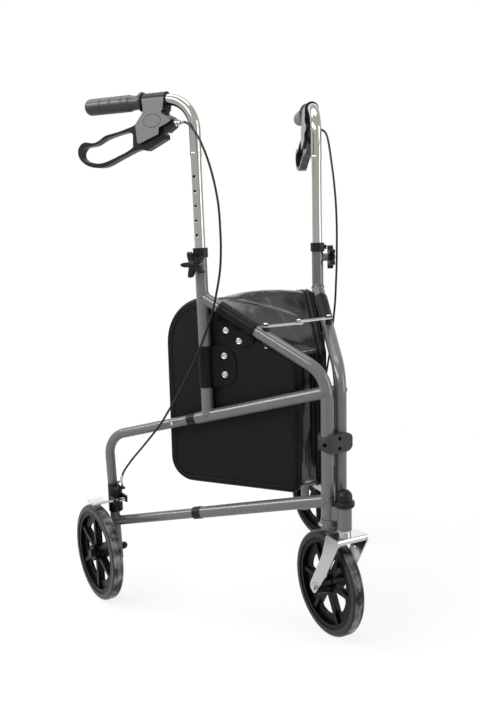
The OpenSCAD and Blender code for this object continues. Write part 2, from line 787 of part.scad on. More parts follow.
module brake_lever(side) {
    outer = [[26, 8], [42, -4], [57, -8.4], [79, -13.5], [107, -18], [120, -24.5], [131, -28.8], [142, -29.4],
        [155, -27], [166, -31], [172.5, -40], [172, -52], [164, -62.5], [151, -70.3], [135, -74.5], [121, -75],
        [107, -72.4], [87, -64.8], [66, -57], [44, -49.5], [26, -47]];
    inner = [[46, -20], [54, -15], [68, -16.3], [84, -18.8], [102, -22.6], [116, -27], [131, -33.5], [146, -35.8],
        [157, -37], [165, -44.5], [166, -53], [160, -59.8], [150, -63.4], [139, -66], [126, -67.2], [110, -65.4],
        [85, -57.8], [60, -49.2], [47, -42]];
    root = [[18, -50.5], [-23.5, -32.5], [-23.5, -26], [-16, -17], [-13, 0], [-9, 10], [4, 12]];
    color(black) on_frame(side) on_pivot() difference() {
        slab(-lever_w / 2, lever_w / 2) difference() {
            polygon(concat(smooth(outer, 3), root));
            polygon(smooth(inner, 3));
        }
        rotate([0, 90, 0]) cylinder(h = 2 * lever_w, d = pivot_d + 2 * hinge_gap, center = true);
    }
}

module lever_fittings(side) {
    half = housing_w / 2;
    end_cap = 2;
    knurl = 8;
    start = lever_pivot + barrel_from;
    color(chrome) on_frame(side) {
        cross_rod(lever_pivot, -half + end_cap, half - end_cap, pivot_d);
        pipe(start, start - [knurl, 0], barrel_d, cable_d / 2);
        pipe(start - [knurl, 0], start - [barrel_len, 0], barrel_neck, cable_d / 2);
    }
}

module cable(side) {
    path = [for (p = smooth(cable_route, 2)) [-p[0], p[1], p[2]]];
    color(black) on_frame(side) cord(path, cable_d);
}

module knob(side) {
    core = 9;
    dome = 3.5;
    start = nut_reach + 0.4;
    points = knob_arms * 14;
    turn = 18;
    color(black) on_frame(side) on_post(knob_up) rotate([0, -90, 0]) {
        translate([0, 0, tube_r]) cylinder(h = start - tube_r + 1, d = screw_d);
        translate([0, 0, start]) linear_extrude(knob_t) polygon([for (i = [0:points - 1])
            let (a = 360 * i / points, bulge = pow(0.5 + 0.5 * cos(knob_arms * a), 1.6))
            (core + (knob_r - core) * bulge) * heading(a + turn)]);
        translate([0, 0, start + knob_t]) rotate_extrude()
            polygon(concat([[0, 0]], [for (a = [0:15:90]) [(core - 1) * cos(a), dome * sin(a)]]));
    }
}

module brace_bolt(side) {
    seat_d = 12.4;
    head_h = 2.6;
    nut_h = 5;
    low = brace_seat - tube_d / cos(slope_rise) - nut_h;
    link = link_low + (side == right ? 0 : link_step);
    color(black) on_frame(side) difference() {
        translate([0, brace_u, 0]) {
            translate([0, 0, low]) cylinder(h = link - hinge_gap - low, d = seat_d);
            translate([0, 0, low]) cylinder(h = link + link_t + head_h - low, d = brace_bolt_d);
            translate([0, 0, link + link_t + hinge_gap]) cylinder(h = head_h, d = seat_d - 2);
        }
        difference() {
            rod(front_corner, [post_at(slope_top), slope_top], tube_d + 2 * weld_gap);
            translate([0, brace_u, 0]) cylinder(h = handle_top, d = brace_bolt_d);
        }
    }
}

// A brace link from its bolt to the middle of the brace
module brace_link(side) {
    run = [brace_x, -brace_ahead];
    reach = norm(run);
    lift = side == right ? 0 : link_step;
    head = side == right ? -rivet_h : link_t;
    color(chrome) translate([side * brace_x, brace_y - mid_y, link_low + lift])
        rotate([0, 0, side == right ? bearing(run) : 180 - bearing(run)]) difference() {
            union() {
                cylinder(h = link_t, d = link_w);
                translate([0, -link_w / 2, 0]) cube([reach, link_w, link_t]);
                translate([reach, 0, 0]) cylinder(h = link_t, d = link_w);
                translate([reach, 0, head]) cylinder(h = rivet_h, d = rivet_d);
            }
            translate([0, 0, -1]) cylinder(h = link_t + 2, d = brace_bolt_d + 2 * hinge_gap);
        }
}

// The bag's outline drawn in by an inset, as distance along the frame and height
function bag_outline(inset) =
    let (top = bag_top - inset, low = bag_low + inset, fore = bag_front + inset, aft = bag_rear - inset)
    let (toe = 10, brow = 14, peak = 30, lift = 6, least = 2)
    rounded([
        [fore, low + lift, max(toe - inset, least)], [fore, bag_nose - inset, max(brow - inset, least)],
        [bag_peak, top, peak], [aft, top, bag_round - inset], [aft, low, bag_heel - inset]], 8);

module bag_panel(side) {
    color(vinyl) on_frame(side) slab(panel_in, panel_in + panel_t) polygon(bag_outline(0));
}

// A strap seen along the tube that it wraps: round the tube and back to the panel
module strap_section(reach) {
    r = tube_r + bag_gap / 2;
    face = panel_in - 0.1;
    difference() {
        union() {
            circle(r = r + strap_skin);
            translate([face - strap_skin, -reach]) square([strap_skin, reach]);
        }
        circle(r = r);
        translate([face, -reach]) square([2 * r, 2 * reach]);
    }
}

module bag_straps(side) {
    color(vinyl) on_frame(side) {
        translate([0, strap_fore, slope_foot + tan(slope_rise) * strap_fore]) rotate([slope_rise, 0, 0])
            rotate([90, 0, 180]) linear_extrude((strap_aft - strap_fore) / cos(slope_rise)) mirror([1, 0])
                strap_section(strap_hang);
        on_post(strap_low) linear_extrude(strap_high - strap_low) strap_section(strap_reach);
    }
}

module bag_body() {
    inner = panel_in + panel_t + fit_gap;
    reach = 2 * leg_x;
    fore = bag_front * cos(splay);
    aft = bag_rear * cos(splay) + inner * sin(splay);
    shift = inner * sin(splay);
    edge_x = tube_gap / 2 - inner / cos(splay);
    ring = [for (p = bag_outline(2)) [p[0] * cos(splay) + shift, p[1]]];
    hole = [for (p = bag_outline(2 + wall_t)) [p[0] * cos(splay) + shift, p[1]]];
    color(vinyl) on_front() intersection() {
        slab(-reach / 2, reach / 2) difference() {
            polygon(ring);
            polygon(hole);
        }
        linear_extrude(handle_top) polygon([
            [-edge_x - fore * tan(splay), fore], [edge_x + fore * tan(splay), fore],
            [edge_x + 2 * aft * tan(splay), 2 * aft], [-edge_x - 2 * aft * tan(splay), 2 * aft]]);
    }
}

// Places what is drawn on the line of the hinge clamp's set screw, from the fixed tube's axis
module on_set_screw() {
    translate([-tube_gap / 2, 0, clamp_mid]) rotate([0, 0, clamp_set_turn]) rotate([0, 90, 0]) children();
}

// The hinge clamp's whole body, with round ends and a round side at the fixed tube
module clamp_body() {
    end_r = clamp_h * 0.42;
    side_r = clamp_t * 0.44;
    edge_r = 2;
    head_d = clamp_head_d + 4 * hinge_gap;
    half_t = clamp_t / 2;
    difference() {
        intersection() {
            translate([0, half_t, clamp_mid]) rotate([90, 0, 0]) linear_extrude(clamp_t) polygon(rounded([
                [-clamp_half, -clamp_h / 2, end_r], [clamp_half, -clamp_h / 2, end_r],
                [clamp_half, clamp_h / 2, end_r], [-clamp_half, clamp_h / 2, end_r]], 8));
            translate([0, 0, clamp_mid - clamp_h]) linear_extrude(2 * clamp_h) polygon(rounded([
                [-clamp_half, -half_t, side_r], [clamp_half, -half_t, edge_r],
                [clamp_half, half_t, edge_r], [-clamp_half, half_t, side_r]], 8));
        }
        translate([-tube_gap / 2, 0, 0]) cylinder(h = handle_top, d = tube_d + 2 * fit_gap);
        translate([tube_gap / 2, 0, 0]) cylinder(h = handle_top, d = tube_d + 2 * hinge_gap);
        for (z = clamp_screws) {
            translate([0, 0, z]) rotate([90, 0, 0]) cylinder(h = 2 * clamp_t, d = clamp_screw_d, center = true);
            translate([0, -clamp_head_in, z]) rotate([90, 0, 0]) cylinder(h = clamp_t, d = head_d);
        }
        on_set_screw() {
            translate([0, 0, clamp_set_in]) cylinder(h = clamp_t, d = head_d);
            cylinder(h = clamp_t, d = clamp_screw_d);
        }
    }
}

// The space behind the hinge clamp's split, or before it
module beyond_split(way) {
    reach = 4 * tube_gap;
    translate([-reach / 2, way > 0 ? -clamp_split : clamp_split - clamp_t, 0]) cube([reach, clamp_t, handle_top]);
}

module hinge_clamp_front() {
    color(black) on_front() difference() {
        clamp_body();
        beyond_split(1);
    }
}

module hinge_clamp_back() {
    color(black) on_front() difference() {
        clamp_body();
        beyond_split(-1);
    }
}

module hinge_fasteners() {
    bolt_out = tube_gap / 2 + tube_r + strap_t + 0.3;
    head_h = 2.5;
    screw_in = 4;
    bolt_head = [9, 4];
    color(chrome) on_front() {
        for (z = clamp_screws) {
            translate([0, -clamp_head_in - fit_gap, z]) rotate([90, 0, 0]) cylinder(h = head_h, d = clamp_head_d);
            translate([0, clamp_t / 2 - screw_in, z]) rotate([90, 0, 0])
                cylinder(h = clamp_t / 2 + screw_in, d = clamp_screw_d - 2 * fit_gap);
        }
        on_set_screw() {
            translate([0, 0, clamp_set_in + fit_gap]) cylinder(h = head_h, d = clamp_head_d);
            translate([0, 0, tube_r + 2 * fit_gap]) cylinder(h = head_h, d = clamp_screw_d - 2 * fit_gap);
        }
        translate([-bolt_out - bolt_head[1], 0, strap_mid]) rotate([0, 90, 0])
            cylinder(h = bolt_head[1], d = bolt_head[0], $fn = 6);
        translate([-bolt_out - 2, 0, strap_mid]) rotate([0, 90, 0])
            cylinder(h = tube_d + 2 + bolt_head[1] / 2, d = strap_bolt_d);
    }
}

module hinge_strap() {
    inner = tube_r + hinge_gap;
    outer = inner + strap_t;
    color(steel) on_front() difference() {
        translate([0, 0, strap_mid - strap_h / 2]) linear_extrude(strap_h) difference() {
            union() {
                for (s = [right, left]) translate([s * tube_gap / 2, 0]) circle(r = outer);
                translate([-tube_gap / 2, -outer]) square([tube_gap, 2 * outer]);
            }
            for (s = [right, left]) translate([s * tube_gap / 2, 0]) circle(r = inner);
            translate([-tube_gap / 2, -inner]) square([tube_gap, 2 * inner]);
        }
        translate([-tube_gap, 0, strap_mid]) rotate([0, 90, 0])
            cylinder(h = tube_gap, d = strap_bolt_d + 2 * fit_gap, center = true);
    }
}

module caster_housing() {
    reach = norm([tube_gap / 2, stem_ahead]);
    web = 12;
    color(steel) on_front() difference() {
        union() {
            translate([0, -stem_ahead, housing_low]) cylinder(h = housing_top - housing_low, d = housing_d);
            translate([0, -stem_ahead, strap_mid + strap_h / 2 + 0.5]) rotate([0, 0, bearing([-tube_gap / 2, stem_ahead])])
                translate([0, -web / 2, 0]) cube([reach, web, housing_top - strap_mid - strap_h / 2 - 1.5]);
        }
        translate([-tube_gap / 2, 0, 0]) cylinder(h = handle_top, d = tube_d + 2 * weld_gap);
        translate([0, -stem_ahead, 0]) cylinder(h = handle_top, d = bearing_d);
    }
}

module caster_cap() {
    flange_d = housing_d + 10;
    dome_d = housing_d + 2;
    flange_h = 11;
    dome_h = 7;
    seat = 0.06;
    socket = 14;
    color(black) on_stem() translate([0, 0, housing_top]) difference() {
        union() {
            rotate_extrude() polygon(rounded([[0, seat, 0], [flange_d / 2, seat, 4], [flange_d / 2, flange_h, 2.5],
                [0, flange_h + 1, 0]]));
            cylinder(h = flange_h + dome_h, d = dome_d);
            translate([0, 0, flange_h + dome_h]) rotate_extrude() intersection() {
                circle(d = dome_d);
                square(dome_d);
            }
        }
        translate([0, 0, -1]) cylinder(h = socket + 1, d = bearing_d - 4);
    }
}

module stem_bearings() {
    width = 8;
    color(chrome) on_stem() for (z = [housing_low + 0.5, housing_top - width - 0.5])
        translate([0, 0, z]) difference() {
            cylinder(h = width, d = bearing_d - 2 * fit_gap);
            translate([0, 0, -1]) cylinder(h = width + 2, d = stem_d + 2 * hinge_gap);
        }
}

module caster_fork() {
    half = fork_gap / 2;
    fore = -26;
    crown_rear = 11;
    lip = 10;
    lip_round = 5;
    stem_nut = [16, 5];
    hole_d = 4;
    hole = [9, crown_up - 33];
    arm = rounded([
        [fore, crown_up, 4], [crown_rear, crown_up, 7], [25, crown_up - 42, 60], [trail + 18, wheel_r - 5, 11],
        [trail + 1, wheel_r - 17, 8], [13, wheel_r + 32, 70], [fore, crown_up - lip, 3]], 8);
    crown = rounded([
        [crown_rear - 2, crown_up, 0], [fore + 1, crown_up, lip_round], [fore + 1, crown_up - lip + 1, 0],
        [fore + 1 + fork_t, crown_up - lip + 1, 0], [fore + 1 + fork_t, crown_up - fork_t, lip_round - fork_t],
        [crown_rear - 2, crown_up - fork_t, 0]]);
    color(chrome) on_stem() difference() {
        union() {
            for (x = [-half - fork_t, half]) slab(x, x + fork_t) polygon(arm);
            slab(-half - fork_t / 2, half + fork_t / 2) polygon(crown);
            translate([0, 0, crown_up - fork_t]) cylinder(h = housing_low - crown_up + fork_t - 1, d = housing_d - 3);
            translate([0, 0, crown_up - fork_t]) cylinder(h = housing_top - crown_up + 8, d = stem_d);
            translate([0, 0, housing_top + 1]) cylinder(h = stem_nut[1], d = stem_nut[0], $fn = 6);
        }
        translate([0, trail, wheel_r]) rotate([0, 90, 0])
            cylinder(h = 3 * fork_gap, d = axle_d + 2 * fit_gap, center = true);
        translate([0, hole[0], hole[1]]) rotate([0, 90, 0]) cylinder(h = 3 * fork_gap, d = hole_d, center = true);
    }
}

module front_axle() {
    half = fork_gap / 2;
    head = 5;
    color(chrome) on_stem() translate([0, trail, wheel_r]) rotate([0, 90, 0]) {
        cylinder(h = fork_gap + 2 * fork_t + 2 * head - 2, d = axle_d, center = true);
        for (s = [0, 1]) mirror([0, 0, s]) {
            translate([0, 0, half + fork_t + fit_gap]) cylinder(h = head, d = axle_d + 5);
            difference() {
                translate([0, 0, front_hub_w / 2 + 0.3]) cylinder(h = half - front_hub_w / 2 - 0.35, d = axle_d + 6);
                cylinder(h = fork_gap, d = axle_d);
            }
        }
    }
}

module front_rim() {
    color(black) on_stem() translate([0, trail, wheel_r]) rotate([0, 90, 0]) rim_shape(front_hub_w, -88);
}

module front_tyre() {
    color(rubber) on_stem() translate([0, trail, wheel_r]) rotate([0, 90, 0]) tyre_shape();
}

front_tube(right);  // right_front_tube
upper_rail(right);  // right_upper_rail
lower_rail(right);  // right_lower_rail
post(right);  // right_post
rear_leg(right);  // right_rear_leg
leg_rail(right);  // right_leg_rail
sleeves(right);  // right_sleeves
snap_button(right);  // right_snap_button
axle(right);  // right_axle
rim(right);  // right_rim
tyre(right);  // right_tyre
brake_bracket(right);  // right_brake_bracket
brake_shoe(right);  // right_brake_shoe
handle_tube(right);  // right_handle_tube
grip(right);  // right_grip
brake_housing(right);  // right_brake_housing
brake_lever(right);  // right_brake_lever
lever_fittings(right);  // right_lever_fittings
cable(right);  // right_cable
knob(right);  // right_knob
brace_bolt(right);  // right_brace_bolt
brace_link(right);  // right_brace_link
bag_panel(right);  // right_bag_panel
bag_straps(right);  // right_bag_straps
front_tube(left);  // left_front_tube
upper_rail(left);  // left_upper_rail
lower_rail(left);  // left_lower_rail
post(left);  // left_post
rear_leg(left);  // left_rear_leg
leg_rail(left);  // left_leg_rail
sleeves(left);  // left_sleeves
snap_button(left);  // left_snap_button
axle(left);  // left_axle
rim(left);  // left_rim
tyre(left);  // left_tyre
brake_bracket(left);  // left_brake_bracket
brake_shoe(left);  // left_brake_shoe
handle_tube(left);  // left_handle_tube
grip(left);  // left_grip
brake_housing(left);  // left_brake_housing
brake_lever(left);  // left_brake_lever
lever_fittings(left);  // left_lever_fittings
cable(left);  // left_cable
knob(left);  // left_knob
brace_bolt(left);  // left_brace_bolt
brace_link(left);  // left_brace_link
bag_panel(left);  // left_bag_panel
bag_straps(left);  // left_bag_straps
bag_body();
hinge_clamp_front();
hinge_clamp_back();
hinge_fasteners();
hinge_strap();
caster_housing();
caster_cap();
stem_bearings();
caster_fork();
front_axle();
front_rim();
front_tyre();
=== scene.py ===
"""Looks of a three wheel rollator: finishes for its metal and plastic, and its bag, straps and cables."""
import json
import math

import bpy
import numpy as np
from mathutils import Matrix, Vector


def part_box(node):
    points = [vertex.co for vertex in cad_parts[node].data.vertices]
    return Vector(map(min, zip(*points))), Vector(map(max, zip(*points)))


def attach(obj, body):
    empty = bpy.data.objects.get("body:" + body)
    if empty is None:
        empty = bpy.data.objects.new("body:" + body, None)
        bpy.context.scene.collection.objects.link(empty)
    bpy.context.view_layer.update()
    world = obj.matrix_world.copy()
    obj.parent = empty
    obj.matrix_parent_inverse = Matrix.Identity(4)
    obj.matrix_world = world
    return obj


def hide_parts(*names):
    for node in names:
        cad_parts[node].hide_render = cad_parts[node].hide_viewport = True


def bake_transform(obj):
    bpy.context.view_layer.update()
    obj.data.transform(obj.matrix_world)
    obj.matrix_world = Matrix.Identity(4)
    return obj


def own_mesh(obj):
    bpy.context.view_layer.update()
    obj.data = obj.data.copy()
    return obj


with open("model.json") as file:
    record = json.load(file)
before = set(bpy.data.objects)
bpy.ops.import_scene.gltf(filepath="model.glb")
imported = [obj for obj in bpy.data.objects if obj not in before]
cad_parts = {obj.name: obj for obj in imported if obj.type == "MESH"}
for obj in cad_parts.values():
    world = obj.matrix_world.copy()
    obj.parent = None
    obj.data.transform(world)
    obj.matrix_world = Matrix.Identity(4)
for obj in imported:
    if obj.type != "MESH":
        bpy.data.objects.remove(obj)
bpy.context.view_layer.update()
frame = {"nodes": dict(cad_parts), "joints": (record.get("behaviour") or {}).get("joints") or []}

bl_info = {
    "name": "Three wheel rollator",
    "version": (1, 0, 0),
    "blender": (4, 5, 0),
    "location": "View3D > Sidebar > Rollator",
    "description": "Dresses a three wheel rollator with its finishes, bag, straps, snaps and brake cables",
    "category": "Object",
}

JOINTS = {joint["name"]: joint for joint in frame["joints"]}
SIDES = {"right": -1.0, "left": 1.0}
MM = 0.001
# A direction that no turned piece's axis takes
NO_AXIS = (0.31, 0.87, 0.38)
# Kinds of nodes that the finishes use most
NOISE = "ShaderNodeTexNoise"
CELLS = "ShaderNodeTexVoronoi"
WAVE = "ShaderNodeTexWave"
MATH = "ShaderNodeMath"
VECTOR = "ShaderNodeVectorMath"
RANGE = "ShaderNodeMapRange"
MIX = "ShaderNodeMix"
# Middle values of a noise, which are spread over a range
PATTERN_MIDDLE = {"From Min": 0.3, "From Max": 0.7}
# Grain of a wave pattern for bands one unit apart, since its bands repeat every tenth of pi
WAVE_BAND = 20 / (2 * math.pi)


def srgb(code):
    """Linear red, green, blue and alpha of an sRGB hex colour."""
    values = [int(code[i:i + 2], 16) / 255 for i in (1, 3, 5)]
    return tuple(v / 12.92 if v <= 0.04045 else ((v + 0.055) / 1.055) ** 2.4 for v in values) + (1.0,)


def length(name, description, millimetres):
    """A length that a user may change, in metres."""
    return bpy.props.FloatProperty(
        name=name, description=description, default=millimetres * MM, min=0.0, unit="LENGTH", precision=4)


def colour(name, description, code):
    """A colour that a user may change."""
    return bpy.props.FloatVectorProperty(
        name=name, description=description, default=srgb(code), size=4, min=0.0, max=1.0, subtype="COLOR")


class RollatorSizes(bpy.types.PropertyGroup):
    """Sizes of the pieces that are added to the frame"""

    splay: bpy.props.FloatProperty(
        name="Splay", description="Angle of each side frame away from straight ahead",
        default=math.radians(29.2), subtype="ANGLE")
    tube_d: length("Tube", "Diameter of the main tubes", 22.2)
    inner_d: length("Inner tube", "Diameter of the tubes that plug into the main tubes", 19.04)
    cable_d: length("Cable", "Diameter of the brake cables", 4)
    weld_r: length("Weld", "Radius of a weld bead", 1.7)
    panel_in: length("Panel offset", "Distance from the frame's plane inward to a bag panel", 12.32)
    panel_t: length("Panel", "Thickness of a bag panel", 5)
    binding_w: length("Binding", "Width of the binding round a bag panel", 9)
    binding_t: length("Binding skin", "Thickness of the binding's cloth", 0.8)
    piping_r: length("Piping", "Radius of the largest rolled rib of a panel's seam", 5.6)
    vinyl_t: length("Vinyl", "Thickness of the soft wall between the panels", 1.2)
    strap_t: length("Strap", "Thickness of the straps", 1.6)
    snap_d: length("Snap", "Diameter of a snap's cap", 13)
    stitch: length("Stitch", "Length of a stitch", 4)


class RollatorColours(bpy.types.PropertyGroup):
    """Colours of the finishes"""

    paint: colour("Paint", "Silver grey paint of the frame", "#5d5d5d")
    chrome: colour("Chrome", "Chrome plating of the handles", "#a09e99")
    zinc: colour("Zinc", "Bright zinc plating of fork, links and brake shoes", "#bebebf")
    plastic: colour("Plastic", "Moulded black plastic", "#131314")
    # The clamp's grey is partly its own colour and partly painted light from the lamps that face it
    clamp: colour("Clamp", "Moulded nylon of the hinge clamp", "#2c2c2d")
    cover: colour("Cover", "Side faces of the hand brakes", "#6a6b6d")
    rubber: colour("Grip", "Black rubber of the grips", "#060607")
    # Pale band of the tread: partly wear, partly a painted highlight of the lamps on the tread
    tyre: colour("Tyre", "Black rubber of the tyres", "#1c1d1e")
    tread: colour("Tread", "Worn band of the tread", "#828385")
    rim: colour("Rim", "Moulded nylon of the rims", "#070708")
    vinyl: colour("Vinyl", "Glossy vinyl of the bag's wall", "#0b0b0c")
    cloth: colour("Cloth", "Matt cloth of the bag's panels", "#0e1012")
    thread: colour("Thread", "Stitching", "#0c0c0d")
    cable: colour("Cable", "Plastic sheath of the cables", "#0d0d0e")
    floor: colour("Floor", "Studio floor", "#f2f2f2")


# Shapes

def unit(vectors):
    """Vectors made one long."""
    vectors = np.asarray(vectors, float)
    return vectors / np.linalg.norm(vectors, axis=-1, keepdims=True)


def on_frame(side, n, u, z):
    """Points of a side frame: n outward from its plane, u along it from the front tube, z up, in metres."""
    sizes = bpy.context.scene.rollator_sizes
    fold = JOINTS["frame_fold"]["pos_m"]
    sine, cosine = math.sin(sizes.splay), math.cos(sizes.splay)
    n, u, z = np.broadcast_arrays(np.asarray(n, float), np.asarray(u, float), np.asarray(z, float))
    across = fold[0] + u * sine + n * cosine
    return np.stack([side * across, u * cosine - n * sine + fold[1], z], axis=-1)


def on_plane(side, n, spots):
    """Points of a side frame: n outward, and spots that give the distance along it and the height."""
    return on_frame(side, n, spots[..., 0], spots[..., 1])


def outward_of(side):
    """Direction square to a side frame, away from the bag."""
    return on_frame(side, 1, 0, 0) - on_frame(side, 0, 0, 0)


def smooth_route(points, steps):
    """A curve through all points: cubics whose slope at each point is half the chord of its neighbours."""
    p = np.asarray(points, float)
    p = np.vstack([2 * p[0] - p[1], p, 2 * p[-1] - p[-2]])
    t = np.linspace(0, 1, steps, endpoint=False)[None, :, None]
    a, b, c, d = (p[i:len(p) - 3 + i, None, :] for i in range(4))
    square, cube = 2 * a - 5 * b + 4 * c - d, 3 * b - a - 3 * c + d
    curve = 0.5 * (2 * b + (c - a) * t + square * t ** 2 + cube * t ** 3)
    return np.vstack([curve.reshape(-1, p.shape[1]), p[-2:-1]])


def rounded(corners, steps=10):
    """A closed outline: each corner x, y, r becomes an arc of radius r that touches both of its sides."""
    c = np.asarray(corners, float)
    point, radius = c[:, None, :2], c[:, 2:3]
    p, q = (unit(np.roll(c[:, :2], shift, axis=0) - c[:, :2]) for shift in (1, -1))
    half = np.arccos(np.sum(p * q, axis=1, keepdims=True)) / 2
    centre = point + (unit(p + q) * radius / np.sin(half))[:, None]
    start, end = (point + (way * radius / np.tan(half))[:, None] - centre for way in (p, q))
    first = np.arctan2(start[..., 1], start[..., 0])
    turn = np.arctan2(end[..., 1], end[..., 0]) - first
    angle = first + np.linspace(0, 1, steps + 1) * ((turn + math.pi) % (2 * math.pi) - math.pi)
    return (centre + radius[:, None] * np.stack([np.cos(angle), np.sin(angle)], axis=-1)).reshape(-1, 2)


def run_of(path):
    """Distance of each point of a path from its start, along the path."""
    return np.concatenate([[0], np.cumsum(np.linalg.norm(np.diff(path, axis=0), axis=1))])


def along_path(path, at):
    """Points at given distances along a path."""
    run = run_of(path)
    return np.stack([np.interp(at, run, path[:, k]) for k in range(path.shape[1])], axis=-1)


def even(outline, count):
    """The same closed outline with its points at equal distances."""
    loop = np.vstack([outline, outline[:1]])
    return along_path(loop, np.linspace(0, run_of(loop)[-1], count, endpoint=False))


def inward_of(outline):
    """Directions into a closed outline: at each point, square to the line between its two neighbours."""
    along = unit(np.roll(outline, -1, axis=0) - np.roll(outline, 1, axis=0))
    square = np.stack([-along[:, 1], along[:, 0]], axis=-1)
    return square * np.sign(np.sum(square * (outline.mean(axis=0) - outline)))


def full_turn(count):
    """Angles at equal steps round a circle."""
    return np.linspace(0, 2 * math.pi, count, endpoint=False)


def ring_of(count, first, second):
    """Points round a circle of radius one that is spanned by two directions."""
    turn = full_turn(count)[:, None]
    return np.cos(turn) * first + np.sin(turn) * second


def tube_grid(path, radius, hint, sides=16, closed=False):
    """A round tube: each row is a circle square to the path, whose radius may change along it.

    The hint is a direction that the path never takes, and each circle starts square to it."""
    if closed:
        tangent = np.roll(path, -1, axis=0) - np.roll(path, 1, axis=0)
    else:
        tangent = np.gradient(path, axis=0)
    first = unit(np.cross(tangent, hint))
    second = unit(np.cross(tangent, first))
    radius = np.broadcast_to(np.asarray(radius, float), len(path))[:, None, None]
    return path[:, None] + radius * ring_of(sides, first[:, None], second[:, None])


def revolved(profile, origin, axis, sides=40):
    """A turned shape: profile points give the radius and the distance along the axis from the origin."""
    profile, axis = np.asarray(profile, float), unit(axis)
    first = unit(np.cross(axis, NO_AXIS))
    ring = ring_of(sides, first, np.cross(axis, first))
    return np.asarray(origin) + profile[:, 1, None, None] * axis + profile[:, 0, None, None] * ring


def sheet_faces(rows, columns, wrap_rows, wrap_columns):
    """Four cornered faces of a grid, whose last row or column may join the first."""
    index = np.arange(rows * columns).reshape(rows, columns)
    corners = [np.roll(index, step, axis=(0, 1)) for step in ((0, 0), (0, -1), (-1, -1), (-1, 0))]
    faces = np.stack(corners, axis=-1)
    return faces[:rows if wrap_rows else -1, :columns if wrap_columns else -1].reshape(-1, 4)


def volume_of(points, faces):
    """Signed volume of a closed mesh with groups of like faces, as a sum of cones to the origin."""
    total = 0.0
    for group in faces:
        p = points[group]
        for k in range(1, group.shape[1] - 1):
            total += np.einsum("ij,ij->i", p[:, 0], np.cross(p[:, k], p[:, k + 1])).sum() / 6
    return total


def solid_mesh(grids, wrap_rows=False):
    """Points and faces of closed shells: columns go round, and a fan to its middle closes each end row."""
    points, faces, start = [], [], 0
    for grid in grids:
        rows, columns = grid.shape[:2]
        shell = grid.reshape(-1, 3)
        groups = [sheet_faces(rows, columns, wrap_rows, True)]
        if not wrap_rows:
            shell = np.vstack([shell, grid[0].mean(axis=0), grid[-1].mean(axis=0)])
            ring = np.arange(columns)
            after = np.roll(ring, -1)
            middle = np.full(columns, rows * columns)
            last = (rows - 1) * columns
            groups.append(np.stack([after, ring, middle], axis=-1))
            groups.append(np.stack([last + ring, last + after, middle + 1], axis=-1))
        if volume_of(shell - shell.mean(axis=0), groups) < 0:
            groups = [group[:, ::-1] for group in groups]
        points.append(shell)
        faces += [group + start for group in groups]
        start += len(shell)
    return np.vstack(points), faces


def piece(name, points, faces, material, crease=40):
    """A mesh object at the origin from points and groups of faces, smooth but for edges over the crease."""
    mesh = bpy.data.meshes.new(name)
    mesh.from_pydata(points.tolist(), [], [face for group in faces for face in group.tolist()])
    mesh.polygons.foreach_set("use_smooth", np.ones(len(mesh.polygons), bool))
    mesh.set_sharp_from_angle(angle=math.radians(crease))
    mesh.materials.append(material)
    mesh.update()
    made = bpy.data.objects.new(name, mesh)
    bpy.context.scene.collection.objects.link(made)
    return made


def shells(name, grids, material, wrap_rows=False):
    """One piece of several closed shells."""
    return piece(name, *solid_mesh(grids, wrap_rows), material)


# Finishes

def add(tree, kind, sockets=None, into=None, **settings):
    """Adds one node with its settings, links or sets each of its sockets, and links its output into a socket.

    Returns that output, the first one that the settings leave in use."""
    made = tree.nodes.new(kind)
    for key, value in settings.items():
        setattr(made, key, value)
    for key, value in (sockets or {}).items():
        if isinstance(value, bpy.types.NodeSocket):
            tree.links.new(value, made.inputs[key])
        else:
            made.inputs[key].default_value = value
    output = next(socket for socket in made.outputs if socket.enabled)
    if into is not None:
        tree.links.new(output, into)
    return output


def start_finish(name, base, roughness, **sockets):
    """A new material with its shader and the object's own coordinates."""
    material = bpy.data.materials.new(name)
    material.use_nodes = True
    tree = material.node_tree
    shader = tree.nodes["Principled BSDF"]
    for key, value in {"Base_Color": base, "Roughness": roughness, **sockets}.items():
        shader.inputs[key.replace("_", " ")].default_value = value
    place = add(tree, "ShaderNodeTexCoord").node.outputs["Object"]
    return material, tree, shader, place


def grains(place, millimetres, detail=2.0, **sockets):
    """Sockets of a pattern whose grains are that many millimetres wide."""
    return {"Vector": place, "Scale": 1 / (millimetres * MM), "Detail": detail, **sockets}


def relief(tree, shader, depth_mm, pattern):
    """Raises the surface by a pattern, to a depth in millimetres, on top of the relief that it has."""
    normal = shader.inputs["Normal"]
    sockets = {"Height": pattern, "Distance": depth_mm * MM}
    if normal.is_linked:
        sockets["Normal"] = normal.links[0].from_socket
    add(tree, "ShaderNodeBump", sockets, normal)
    return pattern


def mottle(tree, shader, pattern, tones, roughness=None):
    """Lets a pattern vary the colour between two of its tones, and the roughness between two values."""
    colour_in = shader.inputs["Base Color"]
    low, high = (tint(colour_in.default_value, tone) for tone in tones)
    add(tree, MIX, {0: pattern, 6: low, 7: high}, colour_in, data_type="RGBA")
    if roughness:
        add(tree, RANGE, {
            "Value": pattern, **PATTERN_MIDDLE, "To Min": roughness[0], "To Max": roughness[1]},
            shader.inputs["Roughness"])


def tint(base, factor):
    """A colour made darker or lighter by a factor."""
    return tuple(min(1.0, c * factor) for c in base[:3]) + (1.0,)


def silver_paint(name, colours):
    """Steel tube with silver grey paint: a clear gloss over fine metal flake, and patches that are rubbed."""
    made, tree, shader, place = start_finish(name, colours.paint, 0.2, Metallic=0.2)
    relief(tree, shader, 0.012, add(tree, NOISE, grains(place, 2.4)))
    mottle(tree, shader, add(tree, NOISE, grains(place, 45, 5.0)), (0.93, 1.06), (0.18, 0.27))
    return made


